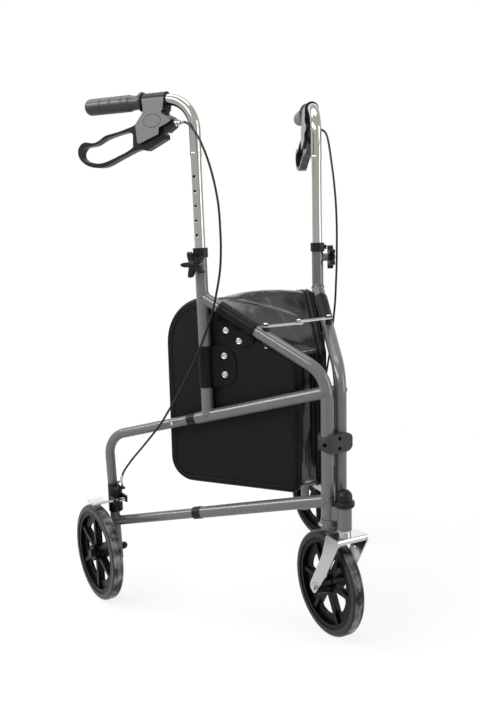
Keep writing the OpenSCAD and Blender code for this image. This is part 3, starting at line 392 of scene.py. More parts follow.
def chrome_plate(name, colours):
    """Chrome plate on steel tube: a mirror with faint smears and fine rubbing marks round the tube."""
    made, tree, shader, place = start_finish(name, colours.chrome, 0.1, Metallic=1.0)
    mottle(tree, shader, add(tree, NOISE, grains(place, 30, 6.0)), (0.94, 1.05), (0.06, 0.14))
    flattened = add(tree, "ShaderNodeMapping", {"Vector": place, "Scale": (1.0, 1.0, 9.0)})
    relief(tree, shader, 0.003, add(tree, NOISE, grains(flattened, 6, 3.0)))
    return made


def zinc_plated_steel(name, colours):
    """Bright zinc on pressed steel: a silver grey, slightly clouded metal with a satin shine."""
    made, tree, shader, place = start_finish(name, colours.zinc, 0.2, Metallic=1.0)
    cloud = relief(tree, shader, 0.05, add(tree, NOISE, grains(place, 16, 3.0)))
    mottle(tree, shader, cloud, (0.93, 1.04), (0.15, 0.26))
    return made


def rolled_zinc(name, colours):
    """Zinc on rolled flat bar: greyer and more satin than on pressed parts, with faint marks of the rolls."""
    made, tree, shader, place = start_finish(name, tint(colours.zinc, 0.62), 0.48, Metallic=1.0)
    drawn_out = add(tree, "ShaderNodeMapping", {"Vector": place, "Scale": (1.0, 6.0, 6.0)})
    rolls = relief(tree, shader, 0.02, add(tree, NOISE, grains(drawn_out, 9, 4.0)))
    mottle(tree, shader, rolls, (0.85, 1.15), (0.42, 0.54))
    return made


def screw_steel(name, colours):
    """Black oxide on the clamp's screws, and bright zinc on the strap's bolt, which sits below them."""
    made, tree, shader, place = start_finish(name, colours.zinc, 0.3, Metallic=1.0)
    height = add(tree, "ShaderNodeSeparateXYZ", {"Vector": place}).node.outputs["Z"]
    upper = add(tree, MATH, {0: height, 1: SCREW_SPLIT * MM}, operation="GREATER_THAN")
    add(tree, MIX, {0: upper, 6: colours.zinc, 7: colours.rim}, shader.inputs["Base Color"], data_type="RGBA")
    relief(tree, shader, 0.02, add(tree, NOISE, grains(place, 3, 3.0)))
    return made


def moulded(name, base, roughness, grain_mm, depth_mm, specular):
    """Injection moulded black plastic: an even spark grain, and a few shinier handled patches."""
    made, tree, shader, place = start_finish(name, base, roughness, Specular_IOR_Level=specular)
    relief(tree, shader, depth_mm, add(tree, CELLS, grains(place, grain_mm, 0.0), feature="SMOOTH_F1"))
    patch = add(tree, NOISE, grains(place, 18, 4.0))
    mottle(tree, shader, patch, (0.85, 1.2), (roughness - 0.06, roughness + 0.07))
    return made


def moulded_plastic(name, colours):
    """Moulded black nylon of knobs, sleeves and levers: a soft shine on a fine grain."""
    return moulded(name, colours.plastic, roughness=0.36, grain_mm=0.8, depth_mm=0.004, specular=0.18)


def clamp_nylon_lit_grey(name, colours):
    """Glass filled nylon of the hinge clamp: flatter than the other plastics, and greyer, partly its own
    colour and partly painted light on the clamp.
    """
    return moulded(name, colours.clamp, roughness=0.5, grain_mm=0.9, depth_mm=0.006, specular=0.25)


def cable_sheath(name, colours):
    """Extruded black sheath of a brake cable: smooth, with a soft shine."""
    return moulded(name, colours.cable, roughness=0.34, grain_mm=1.2, depth_mm=0.01, specular=0.25)


def moulded_nylon(name, colours):
    """Moulded black nylon of the rims: deeper black than the small fittings."""
    return moulded(name, colours.rim, roughness=0.36, grain_mm=1.0, depth_mm=0.012, specular=0.1)


def strap_vinyl(name, colours):
    """Thick black vinyl of the straps: satin, with a leather emboss."""
    return moulded(name, colours.vinyl, roughness=0.42, grain_mm=1.4, depth_mm=0.04, specular=0.12)


def moulded_brake_body(name, colours, sign):
    """Moulded plastic, lighter grey on the flat outer faces of its side plates; grooves, bosses and nose stay
    black.
    """
    made = moulded(name, colours.plastic, roughness=0.42, grain_mm=0.8, depth_mm=0.004, specular=0.18)
    tree = made.node_tree
    place = add(tree, "ShaderNodeTexCoord").node.outputs["Object"]
    moved = add(tree, VECTOR, {0: place, 1: tuple(on_frame(sign, 0, 0, 0))}, operation="SUBTRACT")
    offset = add(tree, VECTOR, {0: moved, 1: tuple(outward_of(sign))}, operation="DOT_PRODUCT")
    either = add(tree, MATH, {0: offset}, operation="ABSOLUTE")
    start, full = ((BRAKE_HALF - depth) * MM for depth in FACE_GREY_DEPTHS)
    flat = add(tree, RANGE, {"Value": either, "From Min": start, "From Max": full})
    colour_in = tree.nodes["Principled BSDF"].inputs["Base Color"]
    add(tree, MIX, {0: flat, 6: colours.plastic, 7: colours.cover}, colour_in, data_type="RGBA")
    return made


def black_grip_rubber(name, colours):
    """Black grip rubber: a smooth semi gloss skin with a fine pebble and faint patches of dust."""
    made, tree, shader, place = start_finish(name, colours.rubber, 0.42, Specular_IOR_Level=0.6)
    relief(tree, shader, 0.006, add(tree, CELLS, grains(place, 1.3, 0.0), feature="SMOOTH_F1"))
    mottle(tree, shader, add(tree, NOISE, grains(place, 12, 5.0)), (0.85, 1.35), (0.38, 0.46))
    return made


def tyre_rubber(name, colours, centre, turn):
    """Solid tyre rubber: dark grey sides, and a tread whose middle band is paler in patches, partly from wear
    and partly as a painted highlight of the lamps.
    """
    made, tree, shader, place = start_finish(name, colours.tyre, 0.3, Specular_IOR_Level=0.2)
    moved = add(tree, VECTOR, {0: place, 1: centre}, operation="SUBTRACT")
    local = add(tree, "ShaderNodeVectorRotate", {"Vector": moved, "Angle": -turn}, rotation_type="Z_AXIS")
    parts = add(tree, "ShaderNodeSeparateXYZ", {"Vector": local}).node.outputs
    offset = add(tree, MATH, {0: parts["X"]}, operation="ABSOLUTE")
    radial = add(tree, "ShaderNodeCombineXYZ", {"Y": parts["Y"], "Z": parts["Z"]})
    radius = add(tree, VECTOR, {0: radial}, operation="LENGTH")
    tread, band = (
        add(tree, RANGE, {"Value": value, "From Min": start * MM, "From Max": full * MM})
        for value, (start, full) in ((radius, TREAD_R), (offset, BAND_HALF)))
    scuff = add(tree, NOISE, grains(place, 20, 4.0))
    patches = add(tree, RANGE, {"Value": scuff, **PATTERN_MIDDLE, "To Min": -0.4, "To Max": 1.0})
    # The pale band is partly wear and partly a painted highlight of the lamps on the tread
    worn_and_highlit = add(tree, MATH, {0: tread, 1: band}, operation="MULTIPLY")
    patchy = add(tree, MATH, {0: worn_and_highlit, 1: patches}, operation="MULTIPLY")
    colour_in = shader.inputs["Base Color"]
    add(tree, MIX, {0: patchy, 6: colours.tyre, 7: colours.tread}, colour_in, data_type="RGBA")
    relief(tree, shader, 0.02, add(tree, NOISE, grains(place, 1.5, 3.0)))
    return made


def glossy_vinyl(name, colours):
    """Black vinyl sheet: a wet looking gloss, a fine leather emboss, and shallow waves from folding."""
    made, tree, shader, place = start_finish(name, colours.vinyl, 0.24, Specular_IOR_Level=0.6)
    wave = relief(tree, shader, 4.0, add(tree, NOISE, grains(place, 48, 1.0, Distortion=0.4)))
    relief(tree, shader, 0.02, add(tree, CELLS, grains(place, 1.4, 0.0), feature="SMOOTH_F1"))
    mottle(tree, shader, wave, (0.9, 1.2), (0.2, 0.3))
    return made


def matt_cloth(name, colours, turn):
    """Coated polyester cloth over foam: matt, with a plain weave that is drawn coarser than real to show."""
    made, tree, shader, place = start_finish(name, colours.cloth, 0.6, Specular_IOR_Level=0.12)
    flat = add(tree, "ShaderNodeVectorRotate", {"Vector": place, "Angle": turn}, rotation_type="Z_AXIS")
    weft = grains(flat, 1.6 * WAVE_BAND, Distortion=0.4)
    threads = [add(tree, WAVE, weft, bands_direction=axis).node.outputs["Fac"] for axis in ("Y", "Z")]
    relief(tree, shader, 0.08, add(tree, MATH, dict(enumerate(threads)), operation="MULTIPLY"))
    mottle(tree, shader, add(tree, NOISE, grains(place, 70, 3.0)), (0.85, 1.25), (0.55, 0.7))
    return made


def polyester_thread(name, colours):
    """Bonded polyester thread: dark and slightly shiny, with a twist that is drawn coarser than real."""
    made, tree, shader, place = start_finish(name, colours.thread, 0.5)
    twist = add(tree, WAVE, grains(place, 0.6 * WAVE_BAND), bands_direction="DIAGONAL").node.outputs["Fac"]
    mottle(tree, shader, relief(tree, shader, 0.05, twist), (0.8, 1.2))
    return made


def studio_floor(name, colours):
    """Matt white studio board: white where it is seen or mirrored, but for a faint shadow by the wheels."""
    made, tree, shader, place = start_finish(name, colours.floor, 0.9, Specular_IOR_Level=0.1)
    mottle(tree, shader, add(tree, NOISE, grains(place, 400)), (0.99, 1.0))
    glow = add(tree, "ShaderNodeEmission", {"Strength": 1.0})
    away = add(tree, VECTOR, {0: place}, operation="LENGTH")
    white = add(tree, RANGE, {
        "Value": away, "From Min": SHADOW_R[0], "From Max": SHADOW_R[1], "To Min": 0.82, "To Max": 1.0})
    share = add(tree, MATH, {0: seen_directly(tree), 1: white}, operation="MULTIPLY")
    surface = tree.nodes["Material Output"].inputs["Surface"]
    add(tree, "ShaderNodeMixShader", {0: share, 1: shader.outputs[0], 2: glow}, surface)
    return made


def seen_directly(tree):
    """One for rays from the camera, from a mirror or through glass, and zero for the rest."""
    rays = add(tree, "ShaderNodeLightPath").node.outputs
    either = add(tree, MATH, {0: rays["Is Camera Ray"], 1: rays["Is Glossy Ray"]}, operation="MAXIMUM")
    return add(tree, MATH, {0: either, 1: rays["Is Transmission Ray"]}, operation="MAXIMUM")


def white_surroundings(scene):
    """White all round where it is seen or mirrored, and a softer white as light on the object."""
    world = bpy.data.worlds.new("white_surroundings")
    world.use_nodes = True
    scene.world = world
    tree = world.node_tree
    lit = tree.nodes["Background"]
    lit.inputs["Color"].default_value = (1, 1, 1, 1)
    lit.inputs["Strength"].default_value = 0.5
    shown = add(tree, "ShaderNodeBackground", {"Color": (1, 1, 1, 1), "Strength": 1.0})
    surface = tree.nodes["World Output"].inputs["Surface"]
    add(tree, "ShaderNodeMixShader", {0: seen_directly(tree), 1: lit.outputs[0], 2: shown}, surface)


def finish(maker):
    """The finish that a maker gives, made once under the maker's name."""
    name = maker.__name__
    return bpy.data.materials.get(name) or maker(name, bpy.context.scene.rollator_colours)


def wear(material, *nodes):
    """Gives nodes of the frame a finish."""
    for node in nodes:
        for slot in frame["nodes"][node].material_slots:
            slot.material = material


def both(*names):
    """Names of like pieces on the right and the left side."""
    return [f"{side}_{name}" for side in SIDES for name in names]


# Routes and outlines of a side frame in millimetres: outward, along the frame and up, or along and up

CABLE_ROUTE = [
    (0, 271.6, 913), (8, 258, 911.5), (17.5, 241, 902), (20.5, 224, 881), (22.5, 208, 848), (25, 195, 810),
    (27, 186, 768), (28, 183, 725), (28, 183, 690), (28, 186, 655), (28, 194, 618), (28, 204, 582),
    (27, 221, 542), (26, 244, 495), (24, 279, 437), (22, 309, 393), (20, 329, 366), (18, 355, 337),
    (15, 381, 310), (13, 404, 286), (11, 425, 260), (10, 434, 239.6),
]
FRONT_TUBE = ((0, 208), (0, 460))
UPPER_RAIL = ((0, 451), (270, 378.2))
LOWER_RAIL = ((0, 259), (259, 197.8))
POST = ((235.5, 387.5), (240.7, 686))
SLOPE = ((239.3, 607.5), (100, 533.1))
LEG = ((456.1, 73), (466.2, 325.2))
LEG_RAIL = ((459.2, 150.4), (259, 197.8))
PANEL_CORNERS = [(67, 262, 10), (67, 508, 14), (232, 599, 30), (325, 599, 82), (325, 256, 40)]
# A place on the panels in metres, and how far the wall's edge lies in from their outline and their back
PANEL_SPOT = (0.2, 0.4)
WALL_INSET = 3
WALL_SUNK = 0.6
# Rings of a panel and points of each, the lengths in metres along and up that turn its wave by a radian, the
# wave's height, and the crown of the panel's back
PAD_RINGS = 36
PAD_POINTS = 320
PAD_WAVES = (0.037, 0.05)
PAD_WAVE_H = 0.35
PAD_CROWN = 2.5
# Rows of a half of the wall, points of each, and the share of its width that they reach, so the halves meet
WALL_ROWS = 44
WALL_POINTS = 420
WALL_OVERLAP = 1.01
# Half width of the bag, in metres, from which its wall is fully slack, the least share of slack, and how far
# the wall is drawn in at the rear and swells at the top and bottom
SLACK_FULL = 0.12
SLACK_LEAST = 0.35
REAR_IN = 9
TOP_OUT = 13
BOTTOM_OUT = 5
# Depth of the front's pleat, and the height in metres over which it deepens
PLEAT_DEPTH = 30
PLEAT_RISE = 0.16
# Folds of the wall: how many, how far in metres each may stray from an even spacing and slant, their least
# and largest width in metres, and their height as a share of it
FOLDS = 15
FOLD_STRAY = 0.02
FOLD_SLANT = 0.2
FOLD_WIDTHS = (0.016, 0.028)
FOLD_STEEPNESS = 0.3
# Each strap: its name, its tube, the stretch that it wraps, its flap's direction, reach and corner radius
STRAPS = [
    ("upper", "front_tube", (132, 550.2), (204, 588.6), (0.471, -0.882), 46, 22),
    ("lower", "post", (236.4, 442), (237.8, 518), (-1.0, 0.0175), 57, 30),
]
# Angles at which a strap starts and ends round its tube, its gaps to the tube and the panel, and its columns
STRAP_WRAP = (15, 245)
TUBE_GAP = 0.2
PANEL_GAP = 0.1
STRAP_COLUMNS = 17
# Radius of a stitch as a share of its length, and its place as shares of the binding's width and thickness
STITCH_R = 0.11
SEAM_IN = 0.72
SEAM_UP = 0.75
# Places of the snaps, along the frame and up
SNAPS = [(199, 546.6), (172.5, 528.4), (203.5, 500), (203.3, 465.4)]
# Rolled ribs of a panel's seam: distance inward from the panel, and share of the largest rib's radius
RIBS = [(4, 1), (13, 0.95), (21, 0.82)]
# Height of the snaps' seats, outward from the frame's plane
SNAP_SEAT = -10.8
# Half of a snap's cap: share of its radius, and height
SNAP = [(1, 0), (1, 0.8), (0.92, 1.7), (0.78, 2.2), (0.66, 2.0), (0.6, 1.6), (0.4, 1.9), (0.14, 2.1)]
# A ferrule's outline: share of the cable's radius, and distance from the cable's end
FERRULE = [(1.05, -14), (1.3, -13.6), (1.35, -9), (1.2, -8.4), (1.35, -7.8), (1.35, -1), (1.1, 1.5)]
# Halves of the brace bolt's cap and of its nut end: radius, and distance from the bolt's end
BOLT_CAP = [(4.6, 0), (4.5, 1), (3.6, 1.9), (2.4, 2.2), (1.9, 1.5), (0.6, 1.4)]
BOLT_END = [(3.7, 0), (3.7, 2.4), (2.6, 3.2), (0.8, 3.5)]
# Half of the dome on the brace's middle rivet: radius, and height
RIVET = [(4.45, -0.3), (4.45, 0.2), (3.9, 0.8), (2.4, 1.3), (0.6, 1.5)]
# Height between the hinge clamp's screws and the strap's bolt
SCREW_SPLIT = 300
# Swaged ring of a handle tube: its height, and its half outline as extra radius and distance along the tube
SWAGE_UP = 857
SWAGE = [(0.02, -10), (0.4, -6), (0.95, -2.5), (1.25, -1), (1.25, 2), (0.82, 3)]
# Adjustment holes of a handle tube: height of the knob, their pitch, and how many lie below and above it
KNOB_UP = 666
HOLE_PITCH = 25.4
HOLES = range(-2, 7)
# Burr round a hole, bright zinc that partly paints a glint on the chrome: radius of its ring,
# thickness at its thin and thick side, the angle of the thick side, where the glint falls, and how far it
# stands out of the tube
BURR_R = 2.95
BURR_T = (0.12, 0.75)
BURR_GLINT_AT = math.radians(225)
BURR_PROUD = 0.04
# Distance from a hand brake's middle to its plates' faces, and depths where their grey starts and is full
BRAKE_HALF = 14
FACE_GREY_DEPTHS = (0.5, 0.2)
# Cable adjuster: its height, the turns of its thread, and the thread's mean radius and half depth
ADJUSTER_H = 15
ADJUSTER_TURNS = 10
THREAD_R = 3.75
THREAD_DEPTH = 0.25
# Ripples round a weld bead, and their height as a share of its radius
RIPPLES = 22
RIPPLE_SHARE = 0.14
# Tyre: radii between which its side turns into its tread, and distances from its middle where its pale band
# of wear and painted highlight starts and is full
TREAD_R = (92.5, 94.8)
BAND_HALF = (10.5, 8.5)

# Stage, in metres: the camera's place, target, roll in degrees and lens in millimetres, half of the floor's
# side, and distances between which the floor's shadow fades
EYE = (-0.87436, -1.288341, 0.74325)
TARGET = (-0.0374, 0.026159, 0.4777)
ROLL = -1.39
LENS = 41.32
FLOOR_HALF = 12.0
SHADOW_R = (0.5, 1.6)
# Each lamp: its name, place, the point that it faces, the direction of its long side, width, length and power
LAMPS = [
    ("key_lamp", (-2.0, 0.2, 2.0), (0, 0, 0.5), (0, 1, 0), 0.4, 3.2, 62),
    ("fill_lamp", (1.5, -2.1, 1.1), (0, 0, 0.6), (0, 0, 1), 0.9, 2.0, 27),
    ("top_lamp", (-0.45, 0.75, 2.5), (-0.45, 0.75, 0), (-0.55, 0.83, 0), 0.9, 3.0, 34),
    ("rear_lamp", (1.2, 2.2, 1.6), (0, 0, 0.6), (0, 0, 1), 2.2, 1.8, 7),
]


def inset(outline, distance):
    """A closed outline moved inward, square to itself at each point."""
    return outline + inward_of(outline) * distance


def weld_grid(sign, host, host_r, branch, branch_r, bead_r):
    """A weld bead: the line where a round branch enters a round host, as a closed rippled tube.

    A point of the branch's skin moves along the branch until it is one host radius from the host's axis."""
    a, b = (on_plane(sign, 0, np.array(points) * MM) for points in (host, branch))
    run, way = unit(a[1] - a[0]), unit(b[1] - b[0])
    outward = unit(np.cross(run, way))
    turn = full_turn(96)
    skin = b[0] + branch_r * ring_of(len(turn), outward, np.cross(way, outward)) - a[0]
    flat_skin = skin - (skin @ run)[:, None] * run
    flat_way = way - (way @ run) * run
    square = flat_way @ flat_way
    half = flat_skin @ flat_way
    rest = np.maximum(half ** 2 - square * (np.sum(flat_skin ** 2, axis=1) - host_r ** 2), 0)
    path = a[0] + skin + ((np.sqrt(rest) - half) / square)[:, None] * way
    ripple = bead_r * (1 + RIPPLE_SHARE * np.cos(turn * RIPPLES))
    return tube_grid(path, ripple, way, 10, closed=True)


def pad_grid(sign, outline, middle, thickness):
    """A foam panel: rings of the outline drawn in to its middle, front and back.

    Its half thickness is the root of one minus the twelfth power of the share of the way out, the back has
    an extra crown, and both faces have a slow wave."""
    share = 1 - (1 - np.linspace(0.02, 1, PAD_RINGS)) ** 1.6
    out = np.concatenate([share, share[-2::-1]])[:, None]
    face = np.concatenate([np.ones(PAD_RINGS), -np.ones(PAD_RINGS - 1)])[:, None]
    centre = outline.mean(axis=0)
    ring = centre + out[..., None] * (outline - centre)
    rise = 0.46 * thickness * np.sqrt(np.maximum(1 - out ** 12, 0))
    along, up = (ring[..., k] / size for k, size in enumerate(PAD_WAVES))
    wave = PAD_WAVE_H * MM * np.sin(along + 1.3 * np.sin(up)) * (1 - out ** 2)
    crown = np.where(face < 0, PAD_CROWN * MM * (1 - out ** 2), 0)
    return on_plane(sign, -middle + face * rise + wave - crown, ring)


def binding_grid(sign, outline, middle, sizes):
    """A binding tape folded over the panel's edge: a thin U carried round the outline.

    Its section runs round the edge as a half ellipse on the outside and back along the inside."""
    half, skin, width = sizes.panel_t / 2, sizes.binding_t, sizes.binding_w
    bend = np.linspace(-math.pi / 2, math.pi / 2, 9)
    outer = np.stack([-(half * 0.5 + skin) * np.cos(bend), (half + skin * 0.1) * np.sin(bend)], axis=-1)
    inner = np.stack([-half * 0.5 * np.cos(bend), (half - skin) * np.sin(bend)], axis=-1)[::-1]
    tips = np.array([[width * 0.5, half + skin * 0.1], [width, half - skin * 0.1],
                     [width, half - skin], [width * 0.5, half - skin]])
    section = np.vstack([outer, tips, inner, tips[::-1] * [1, -1]])
    place = outline[:, None] + section[None, :, :1] * inward_of(outline)[:, None]
    return on_plane(sign, section[None, :, 1] - middle, place)


def stitch_run(path, outward, size):
    """A closed row of stitches: round capsules along a path, one and a half times their length apart."""
    loop = np.vstack([path, path[:1]])
    at = np.arange(size, run_of(loop)[-1] - size, size * 1.5)
    place = along_path(loop, at)
    way = unit(along_path(loop, at + size / 4) - place)
    outward = unit(np.broadcast_to(outward, place.shape))
    s = np.linspace(-1, 1, 6)
    bulge = STITCH_R * size * np.sqrt(1 - (s * 0.94) ** 2)
    ring = ring_of(6, outward[:, None], np.cross(way, outward)[:, None])
    spine = place[:, None] + (s * size / 2)[:, None] * way[:, None]
    return list(spine[:, :, None] + bulge[None, :, None, None] * ring[:, None])


def wall_grid(sign, outline, inside):
    """Half of the bag's soft wall: the panel's outline carried straight across to the middle of the bag.

    The sine of the share of the way across swells it at the top and bottom and draws it in at the rear, the
    front is pleated inward as a V that deepens upward, and broad folds, each a ridge or valley that crosses
    the wall at its own slant, die out at the panels."""
    edge = on_plane(sign, -inside, outline)
    share = np.linspace(0, WALL_OVERLAP, WALL_ROWS)
    across = 0.5 + sign * 0.5 * (1 - share)
    grid = np.repeat(edge[None], len(share), axis=0)
    grid[..., 0] *= (1 - share)[:, None]
    flat = edge[:, 1:]
    square = inward_of(flat)
    run = np.cumsum(np.linalg.norm(flat - np.roll(flat, 1, axis=0), axis=1))
    slack = np.clip(np.abs(edge[:, 0]) / SLACK_FULL, SLACK_LEAST, 1)
    rear, top = (np.clip(-square[:, k], 0, 1) for k in range(2))
    front, bottom = (np.clip(square[:, k], 0, 1) for k in range(2))
    sine = np.sin(math.pi * across)[:, None]
    peak = (1 - np.abs(2 * across - 1))[:, None]
    pleat = PLEAT_DEPTH * front ** 4 * np.clip((flat[:, 1] - flat[:, 1].min()) / PLEAT_RISE, 0, 1)
    swell = REAR_IN * rear - TOP_OUT * top - BOTTOM_OUT * bottom
    drawn = (swell * slack * sine ** 0.8 + pleat * peak) * MM
    folds = np.random.default_rng(7)
    stray = folds.uniform(-FOLD_STRAY, FOLD_STRAY, FOLDS)
    for spot in np.linspace(0, run[-1], FOLDS, endpoint=False) + stray:
        slant, width = folds.uniform(-FOLD_SLANT, FOLD_SLANT), folds.uniform(*FOLD_WIDTHS)
        height = folds.uniform(-1, 1) * FOLD_STEEPNESS * width
        gap = run[None] - spot - slant * (across[:, None] - folds.uniform(0.3, 0.7))
        gap = (gap + run[-1] / 2) % run[-1] - run[-1] / 2
        drawn = drawn + height * np.exp(-(gap / width) ** 2) * sine ** 0.7 * slack
    grid[..., 1:] += drawn[..., None] * square
    return grid


def strap_grid(sign, start, end, away, reach, corner):
    """A strap: its flap lies on the panel, bows out to the tube and goes round it, in between tube and panel.

    Rows follow that line, and each is as wide as the flap's rounded end allows so far from the end."""
    sizes = bpy.context.scene.rollator_sizes
    round_r = (sizes.tube_d + sizes.strap_t) / 2 / MM + TUBE_GAP
    turn = np.radians(np.linspace(*STRAP_WRAP, 14))
    ring = np.stack([round_r * np.sin(turn), round_r * np.cos(turn)], axis=-1)
    lie = -sizes.panel_in / MM + sizes.strap_t / MM / 2 + PANEL_GAP
    flap = [(lie, reach - back) for back in (0, 6, 12)] + [(lie + 0.3, 27), (lie * 0.62, 18.5), (-2.5, 13.4)]
    line = smooth_route(np.vstack([flap, ring]), 6)
    at = np.concatenate([corner * (1 - np.cos(np.linspace(0, math.pi / 2, 14))),
                         np.linspace(corner, run_of(line)[-1], 60)[1:]])
    line = along_path(line, at)
    p, q = np.array(start, float), np.array(end, float)
    cut = np.clip(corner - at, 0, corner)
    width = np.linalg.norm(q - p) / 2 - corner + np.sqrt(corner ** 2 - cut ** 2)
    side_step = np.linspace(-1, 1, STRAP_COLUMNS)[None, :] * width[:, None]
    spot = (p + q) / 2 + line[:, None, 1:] * np.array(away) + side_step[..., None] * unit(q - p)
    return on_plane(sign, line[:, None, 0] * MM, spot * MM)


def soft_sheet(name, grid, sign, wrap, material, thickness, offset):
    """A sheet over a grid of points, with a thickness that an offset of minus one lays under the grid."""
    faces = sheet_faces(*grid.shape[:2], False, wrap)
    made = piece(name, grid.reshape(-1, 3), [faces[:, ::-1] if sign > 0 else faces], material, crease=80)
    skin = made.modifiers.new("thickness", "SOLIDIFY")
    skin.thickness, skin.offset = thickness, offset
    return made


def fold_flat(made, sign):
    """Gives a soft piece its own copy of its mesh; a point on the back of its panel and the inward direction
    are worked out but not used.
    """
    sizes = bpy.context.scene.rollator_sizes
    back = on_frame(sign, -sizes.panel_in - sizes.panel_t, *PANEL_SPOT)
    tuple(-outward_of(sign))
    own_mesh(made)


def ride_in(made, body):
    """Lets a piece ride on a body."""
    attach(made, body)
    return made


def fitting(body, slot, name, *shape):
    """A piece of closed shells that rides on a body; the slot argument is not used."""
    return ride_in(shells(name, *shape), body)


class ROLLATOR_OT_cables(bpy.types.Operator):
    """Brake cables from the hand brakes to the rear brakes, with their metal ferrules"""

    bl_idname = "rollator.cables"
    bl_label = "Brake cables"

    def execute(self, context):
        sizes = context.scene.rollator_sizes
        sheath = finish(cable_sheath)
        zinc = finish(zinc_plated_steel)
        route = smooth_route(np.array(CABLE_ROUTE) * MM, 8)
        radius = sizes.cable_d / 2
        profile = np.array(FERRULE) * [radius, MM]
        for side, sign in SIDES.items():
            path = on_frame(sign, *route.T)
            cable = shells(f"{side}_brake_cable", [tube_grid(path, radius, outward_of(sign), 14)], sheath)
            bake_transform(cable)
            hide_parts(f"{side}_cable")
            for end, body, tip, behind in (("upper", "handle", 0, 2), ("lower", "frame", -1, -3)):
                shape = revolved(profile, path[tip], path[tip] - path[behind], 24)
                ferrule = fitting(f"{side}_{body}", "chromed_steel", f"{side}_{end}_ferrule", [shape], zinc)
        return {"FINISHED"}


class ROLLATOR_OT_frame(bpy.types.Operator):
    """Paint on the tubes of both side frames, and the weld beads at their joints"""

    bl_idname = "rollator.frame"
    bl_label = "Painted frame"

    def execute(self, context):
        sizes = context.scene.rollator_sizes
        paint = finish(silver_paint)
        wear(paint, "caster_housing", "hinge_strap",
             *both("front_tube", "upper_rail", "lower_rail", "post", "rear_leg", "leg_rail"))
        outer, inner = sizes.tube_d / 2, sizes.inner_d / 2
        joints = [
            (FRONT_TUBE, outer, UPPER_RAIL, outer), (FRONT_TUBE, outer, LOWER_RAIL, outer),
            (UPPER_RAIL, outer, POST, outer), (POST, outer, SLOPE, outer), (LEG, inner, LEG_RAIL, inner)]
        for side, sign in SIDES.items():
            beads = [weld_grid(sign, *joint, sizes.weld_r) for joint in joints]
            fitting(f"{side}_frame", "painted_steel", f"{side}_weld_beads", beads, paint, True)
        return {"FINISHED"}


class ROLLATOR_OT_handles(bpy.types.Operator):
    """Chrome on the handle tubes, rubber grips, clamp knobs and collars"""

    bl_idname = "rollator.handles"
    bl_label = "Handles and grips"

    def execute(self, context):
        sizes = context.scene.rollator_sizes
        chrome = finish(chrome_plate)
        zinc = finish(zinc_plated_steel)
        wear(chrome, *both("handle_tube"))
        wear(finish(black_grip_rubber), *both("grip"))
        wear(finish(moulded_plastic), *both("knob", "sleeves"))
        wear(zinc, *both("snap_button"))
        inner_r = sizes.inner_d / 2
        step = np.array(SWAGE) * MM + [inner_r, 0]
        post = np.array(POST, float)
        lean = (post[1] - post[0]) / (post[1, 1] - post[0, 1])
        swage, knob = (post[0] + lean * (height - post[0, 1]) for height in (SWAGE_UP, KNOB_UP))
        rise = unit(lean)
        turn = full_turn(24)
        burr = BURR_R * ring_of(len(turn), np.array([rise[1], -rise[0]]), rise)
        thick = BURR_T[0] + (BURR_T[1] - BURR_T[0]) * np.clip(np.cos(turn - BURR_GLINT_AT), 0, 1)
        skin = np.sqrt((inner_r / MM) ** 2 - (BURR_R * np.cos(turn)) ** 2) + BURR_PROUD - thick
        for side, sign in SIDES.items():
            centre, above = (on_plane(sign, 0, spot * MM) for spot in (swage, swage + lean))
            ring = revolved(step, centre, above - centre)
            fitting(f"{side}_handle", "chromed_steel", f"{side}_handle_swage", [ring], chrome)
            loops = [on_plane(sign, skin * MM, (knob + k * HOLE_PITCH * rise + burr) * MM) for k in HOLES]
            rings = [tube_grid(loop, thick * MM, outward_of(sign), 10, closed=True) for loop in loops]
            # Burrs in bright zinc on chrome: partly a real burr, partly a painted glint on the hole's rim
            fitting(f"{side}_handle", "chromed_steel", f"{side}_hole_burr_glints", rings, zinc, True)
        return {"FINISHED"}


class ROLLATOR_OT_brakes(bpy.types.Operator):
    """Hand brakes with their loop levers, and rear brakes with their adjusters"""

    bl_idname = "rollator.brakes"
    bl_label = "Hand and rear brakes"

    def execute(self, context):
        colours = context.scene.rollator_colours
        zinc = finish(zinc_plated_steel)
        wear(finish(moulded_plastic), *both("brake_lever", "brake_bracket"))
        wear(zinc, *both("lever_fittings", "brake_shoe"))
        rise = np.linspace(0, 1, 61)
        thread = THREAD_R + THREAD_DEPTH * np.cos(rise * 2 * math.pi * ADJUSTER_TURNS)
        profile = np.stack([thread, rise * ADJUSTER_H], axis=-1) * MM
        for side, sign in SIDES.items():
            wear(moulded_brake_body(f"moulded_brake_body_{side}", colours, sign), f"{side}_brake_housing")
            foot = on_frame(sign, *np.array(CABLE_ROUTE[-1]) * MM)
            foot[2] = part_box(f"{side}_brake_bracket")[1][2] - ADJUSTER_H * MM
            barrel = revolved(profile, foot, (0, 0, 1), 28)
            fitting(f"{side}_frame", "chromed_steel", f"{side}_cable_adjuster", [barrel], zinc)
        return {"FINISHED"}


class ROLLATOR_OT_wheels(bpy.types.Operator):
    """Tyres, rims and axles of the three wheels"""

    bl_idname = "rollator.wheels"
    bl_label = "Wheels"

    def execute(self, context):
        for wheel in (*SIDES, "front"):
            joint = JOINTS[f"{wheel}_wheel_spin"]
            turn = math.atan2(joint["axis"][1], joint["axis"][0])
            tyre = tyre_rubber(f"tyre_rubber_{wheel}", context.scene.rollator_colours, joint["pos_m"], turn)
            wear(tyre, f"{wheel}_tyre")
            wear(finish(moulded_nylon), f"{wheel}_rim")
        wear(finish(moulded_plastic), *both("axle"))
        wear(finish(zinc_plated_steel), "front_axle")
        return {"FINISHED"}


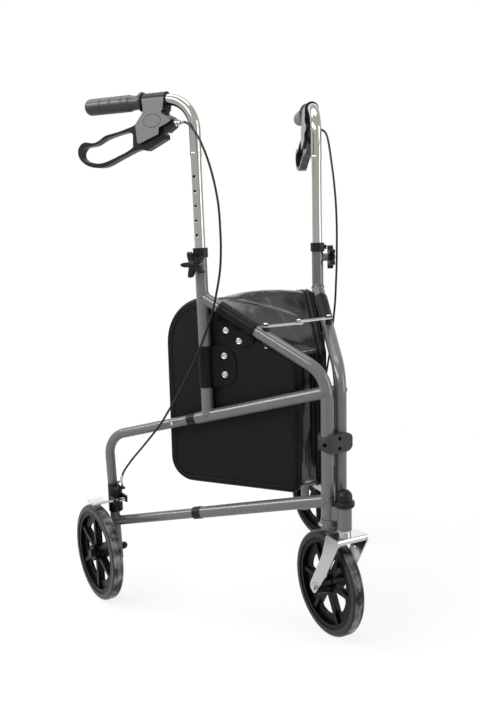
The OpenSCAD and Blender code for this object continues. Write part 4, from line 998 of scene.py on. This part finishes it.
class ROLLATOR_OT_caster(bpy.types.Operator):
    """Caster fork, its cap and bearings, the hinge clamp and the folding brace"""

    bl_idname = "rollator.caster"
    bl_label = "Caster, hinge and brace"

    def execute(self, context):
        zinc = finish(zinc_plated_steel)
        wear(zinc, "caster_fork", "stem_bearings")
        wear(finish(rolled_zinc), *both("brace_link"))
        wear(finish(screw_steel), "hinge_fasteners")
        wear(finish(moulded_plastic), "caster_cap", *both("brace_bolt"))
        wear(finish(clamp_nylon_lit_grey), "hinge_clamp_front", "hinge_clamp_back")
        for side in SIDES:
            low, high = np.array(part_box(f"{side}_brace_bolt"))
            middle = (low + high) / 2
            ends = [revolved(np.array(outline) * MM, (*middle[:2], corner[2]), (0, 0, way), 24)
                    for outline, corner, way in ((BOLT_CAP, high, 1), (BOLT_END, low, -1))]
            fitting(f"{side}_frame", "chromed_steel", f"{side}_bolt_caps", ends, zinc)
        low, high = np.array(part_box("left_brace_link"))
        dome = revolved(np.array(RIVET) * MM, (0, (low[1] + high[1]) / 2, high[2]), (0, 0, 1), 28)
        fitting("left_brace", "chromed_steel", "brace_rivet_dome", [dome], zinc)
        return {"FINISHED"}


class ROLLATOR_OT_bag_panels(bpy.types.Operator):
    """Padded side panels of the bag, with a stitched binding round each"""

    bl_idname = "rollator.bag_panels"
    bl_label = "Bag panels"

    def execute(self, context):
        sizes, colours = context.scene.rollator_sizes, context.scene.rollator_colours
        tape = finish(strap_vinyl)
        outline = even(rounded(PANEL_CORNERS), PAD_POINTS) * MM
        middle = sizes.panel_in + sizes.panel_t / 2
        back = sizes.panel_in + sizes.panel_t
        face = sizes.panel_t / 2 + sizes.binding_t * SEAM_UP - middle
        seam = inset(outline, sizes.binding_w * SEAM_IN)
        for side, sign in SIDES.items():
            sewn, outward = (f"{side}_frame", "bag_cloth"), outward_of(sign)
            cloth = matt_cloth(f"matt_cloth_{side}", colours, sign * sizes.splay)
            foam = pad_grid(sign, outline, middle, sizes.panel_t)
            panel = fitting(*sewn, f"{side}_bag_pad", [foam], cloth)
            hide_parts(f"{side}_bag_panel")
            edge = binding_grid(sign, outline, middle, sizes)
            fitting(*sewn, f"{side}_bag_binding", [edge], tape, True)
            ribs = [tube_grid(on_plane(sign, -back - depth * MM, outline), share * sizes.piping_r,
                              outward, 14, closed=True)
                    for depth, share in RIBS]
            fold_flat(fitting(*sewn, f"{side}_bag_piping", ribs, tape, True), sign)
            stitching = stitch_run(on_plane(sign, face, seam), outward, sizes.stitch)
            fitting(*sewn, f"{side}_panel_stitching", stitching, finish(polyester_thread))
        return {"FINISHED"}


class ROLLATOR_OT_bag_wall(bpy.types.Operator):
    """Soft vinyl wall of the bag, sewn from two halves that meet midway between the panels"""

    bl_idname = "rollator.bag_wall"
    bl_label = "Bag wall"

    def execute(self, context):
        sizes = context.scene.rollator_sizes
        outline = inset(even(rounded(PANEL_CORNERS), WALL_POINTS) * MM, WALL_INSET * MM)
        inside = sizes.panel_in + sizes.panel_t - WALL_SUNK * MM
        for side, sign in SIDES.items():
            grid = wall_grid(sign, outline, inside)
            wall = soft_sheet(f"{side}_bag_wall", grid, sign, True, finish(glossy_vinyl), sizes.vinyl_t, -1.0)
            ride_in(wall, f"{side}_frame")
            fold_flat(wall, sign)
            if side == "right":
                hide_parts("bag_body")
        return {"FINISHED"}


class ROLLATOR_OT_straps(bpy.types.Operator):
    """Straps that hang the bag's panels on the frame, with their snaps"""

    bl_idname = "rollator.straps"
    bl_label = "Straps and snaps"

    def execute(self, context):
        sizes = context.scene.rollator_sizes
        vinyl = finish(strap_vinyl)
        cap = np.array(SNAP) * [sizes.snap_d / 2, MM]
        for side, sign in SIDES.items():
            for name, tube, *shape in STRAPS:
                grid = strap_grid(sign, *shape)
                strap = soft_sheet(f"{side}_{name}_strap", grid, sign, False, vinyl, sizes.strap_t, 0.0)
                edge = strap.modifiers.new("soft_edge", "BEVEL")
                edge.width, edge.segments, edge.angle_limit = 0.5 * MM, 2, math.radians(60)
                ride_in(strap, f"{side}_frame")
                if name == "upper":
                    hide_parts(f"{side}_bag_straps")
            seats = on_plane(sign, SNAP_SEAT * MM, np.array(SNAPS) * MM)
            caps = [revolved(cap, seat, outward_of(sign), 32) for seat in seats]
            fitting(f"{side}_frame", "chromed_steel", f"{side}_snaps", caps, finish(zinc_plated_steel))
        return {"FINISHED"}


def turned(name, data, place, across, up, back):
    """An object at a place, with its own three axes along three directions."""
    made = bpy.data.objects.new(name, data)
    made.matrix_world = Matrix((across, up, back)).transposed().to_4x4()
    made.location = place
    bpy.context.scene.collection.objects.link(made)
    return made


class ROLLATOR_OT_stage(bpy.types.Operator):
    """Pale studio floor, soft lamps, white surroundings and the camera"""

    bl_idname = "rollator.stage"
    bl_label = "Stage and camera"

    def execute(self, context):
        scene = context.scene
        corners = FLOOR_HALF * np.array([(-1, -1, 0), (1, -1, 0), (1, 1, 0), (-1, 1, 0)])
        piece("studio_floor", corners, [np.array([[0, 1, 2, 3]])], finish(studio_floor))
        for name, place, target, long_side, width, height, power in LAMPS:
            light = bpy.data.lights.new(name, "AREA")
            light.shape = "RECTANGLE"
            light.size, light.size_y, light.energy = width, height, power
            back = (Vector(place) - Vector(target)).normalized()
            wide = Vector(long_side).cross(back).normalized()
            turned(name, light, place, wide, back.cross(wide), back)
        white_surroundings(scene)
        scene.view_settings.view_transform = "Standard"
        sight = (Vector(TARGET) - Vector(EYE)).normalized()
        level = sight.cross(Vector((0, 0, 1))).normalized()
        upright = level.cross(sight)
        sine, cosine = math.sin(math.radians(ROLL)), math.cos(math.radians(ROLL))
        lens = bpy.data.cameras.new("camera")
        lens.lens = LENS
        across, up = level * cosine + upright * sine, upright * cosine - level * sine
        scene.camera = turned("camera", lens, EYE, across, up, -sight)
        return {"FINISHED"}


class ROLLATOR_PT_panel(bpy.types.Panel):
    """The rollator's pieces, sizes and colours"""

    bl_label = "Rollator"
    bl_idname = "ROLLATOR_PT_panel"
    bl_space_type = "VIEW_3D"
    bl_region_type = "UI"
    bl_category = "Rollator"

    def draw(self, context):
        for operator in OPERATORS:
            self.layout.operator(operator.bl_idname)
        for group in (context.scene.rollator_sizes, context.scene.rollator_colours):
            for key in group.__annotations__:
                self.layout.prop(group, key)


OPERATORS = [
    ROLLATOR_OT_cables, ROLLATOR_OT_frame, ROLLATOR_OT_handles, ROLLATOR_OT_brakes, ROLLATOR_OT_wheels,
    ROLLATOR_OT_caster, ROLLATOR_OT_bag_panels, ROLLATOR_OT_bag_wall, ROLLATOR_OT_straps]
CLASSES = [RollatorSizes, RollatorColours, ROLLATOR_OT_stage, *OPERATORS, ROLLATOR_PT_panel]


def register():
    """Adds the classes and the settings that they read to Blender."""
    for item in CLASSES:
        bpy.utils.register_class(item)
    bpy.types.Scene.rollator_sizes = bpy.props.PointerProperty(type=RollatorSizes)
    bpy.types.Scene.rollator_colours = bpy.props.PointerProperty(type=RollatorColours)


def unregister():
    """Takes the classes and settings out of Blender again."""
    del bpy.types.Scene.rollator_sizes
    del bpy.types.Scene.rollator_colours
    for item in reversed(CLASSES):
        bpy.utils.unregister_class(item)


def main():
    """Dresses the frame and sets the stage."""
    register()
    bpy.ops.rollator.stage()
    bpy.ops.rollator.cables()
    bpy.ops.rollator.frame()
    bpy.ops.rollator.handles()
    bpy.ops.rollator.brakes()
    bpy.ops.rollator.wheels()
    bpy.ops.rollator.caster()
    bpy.ops.rollator.bag_panels()
    bpy.ops.rollator.bag_wall()
    bpy.ops.rollator.straps()


if __name__ == "__main__":
    main()
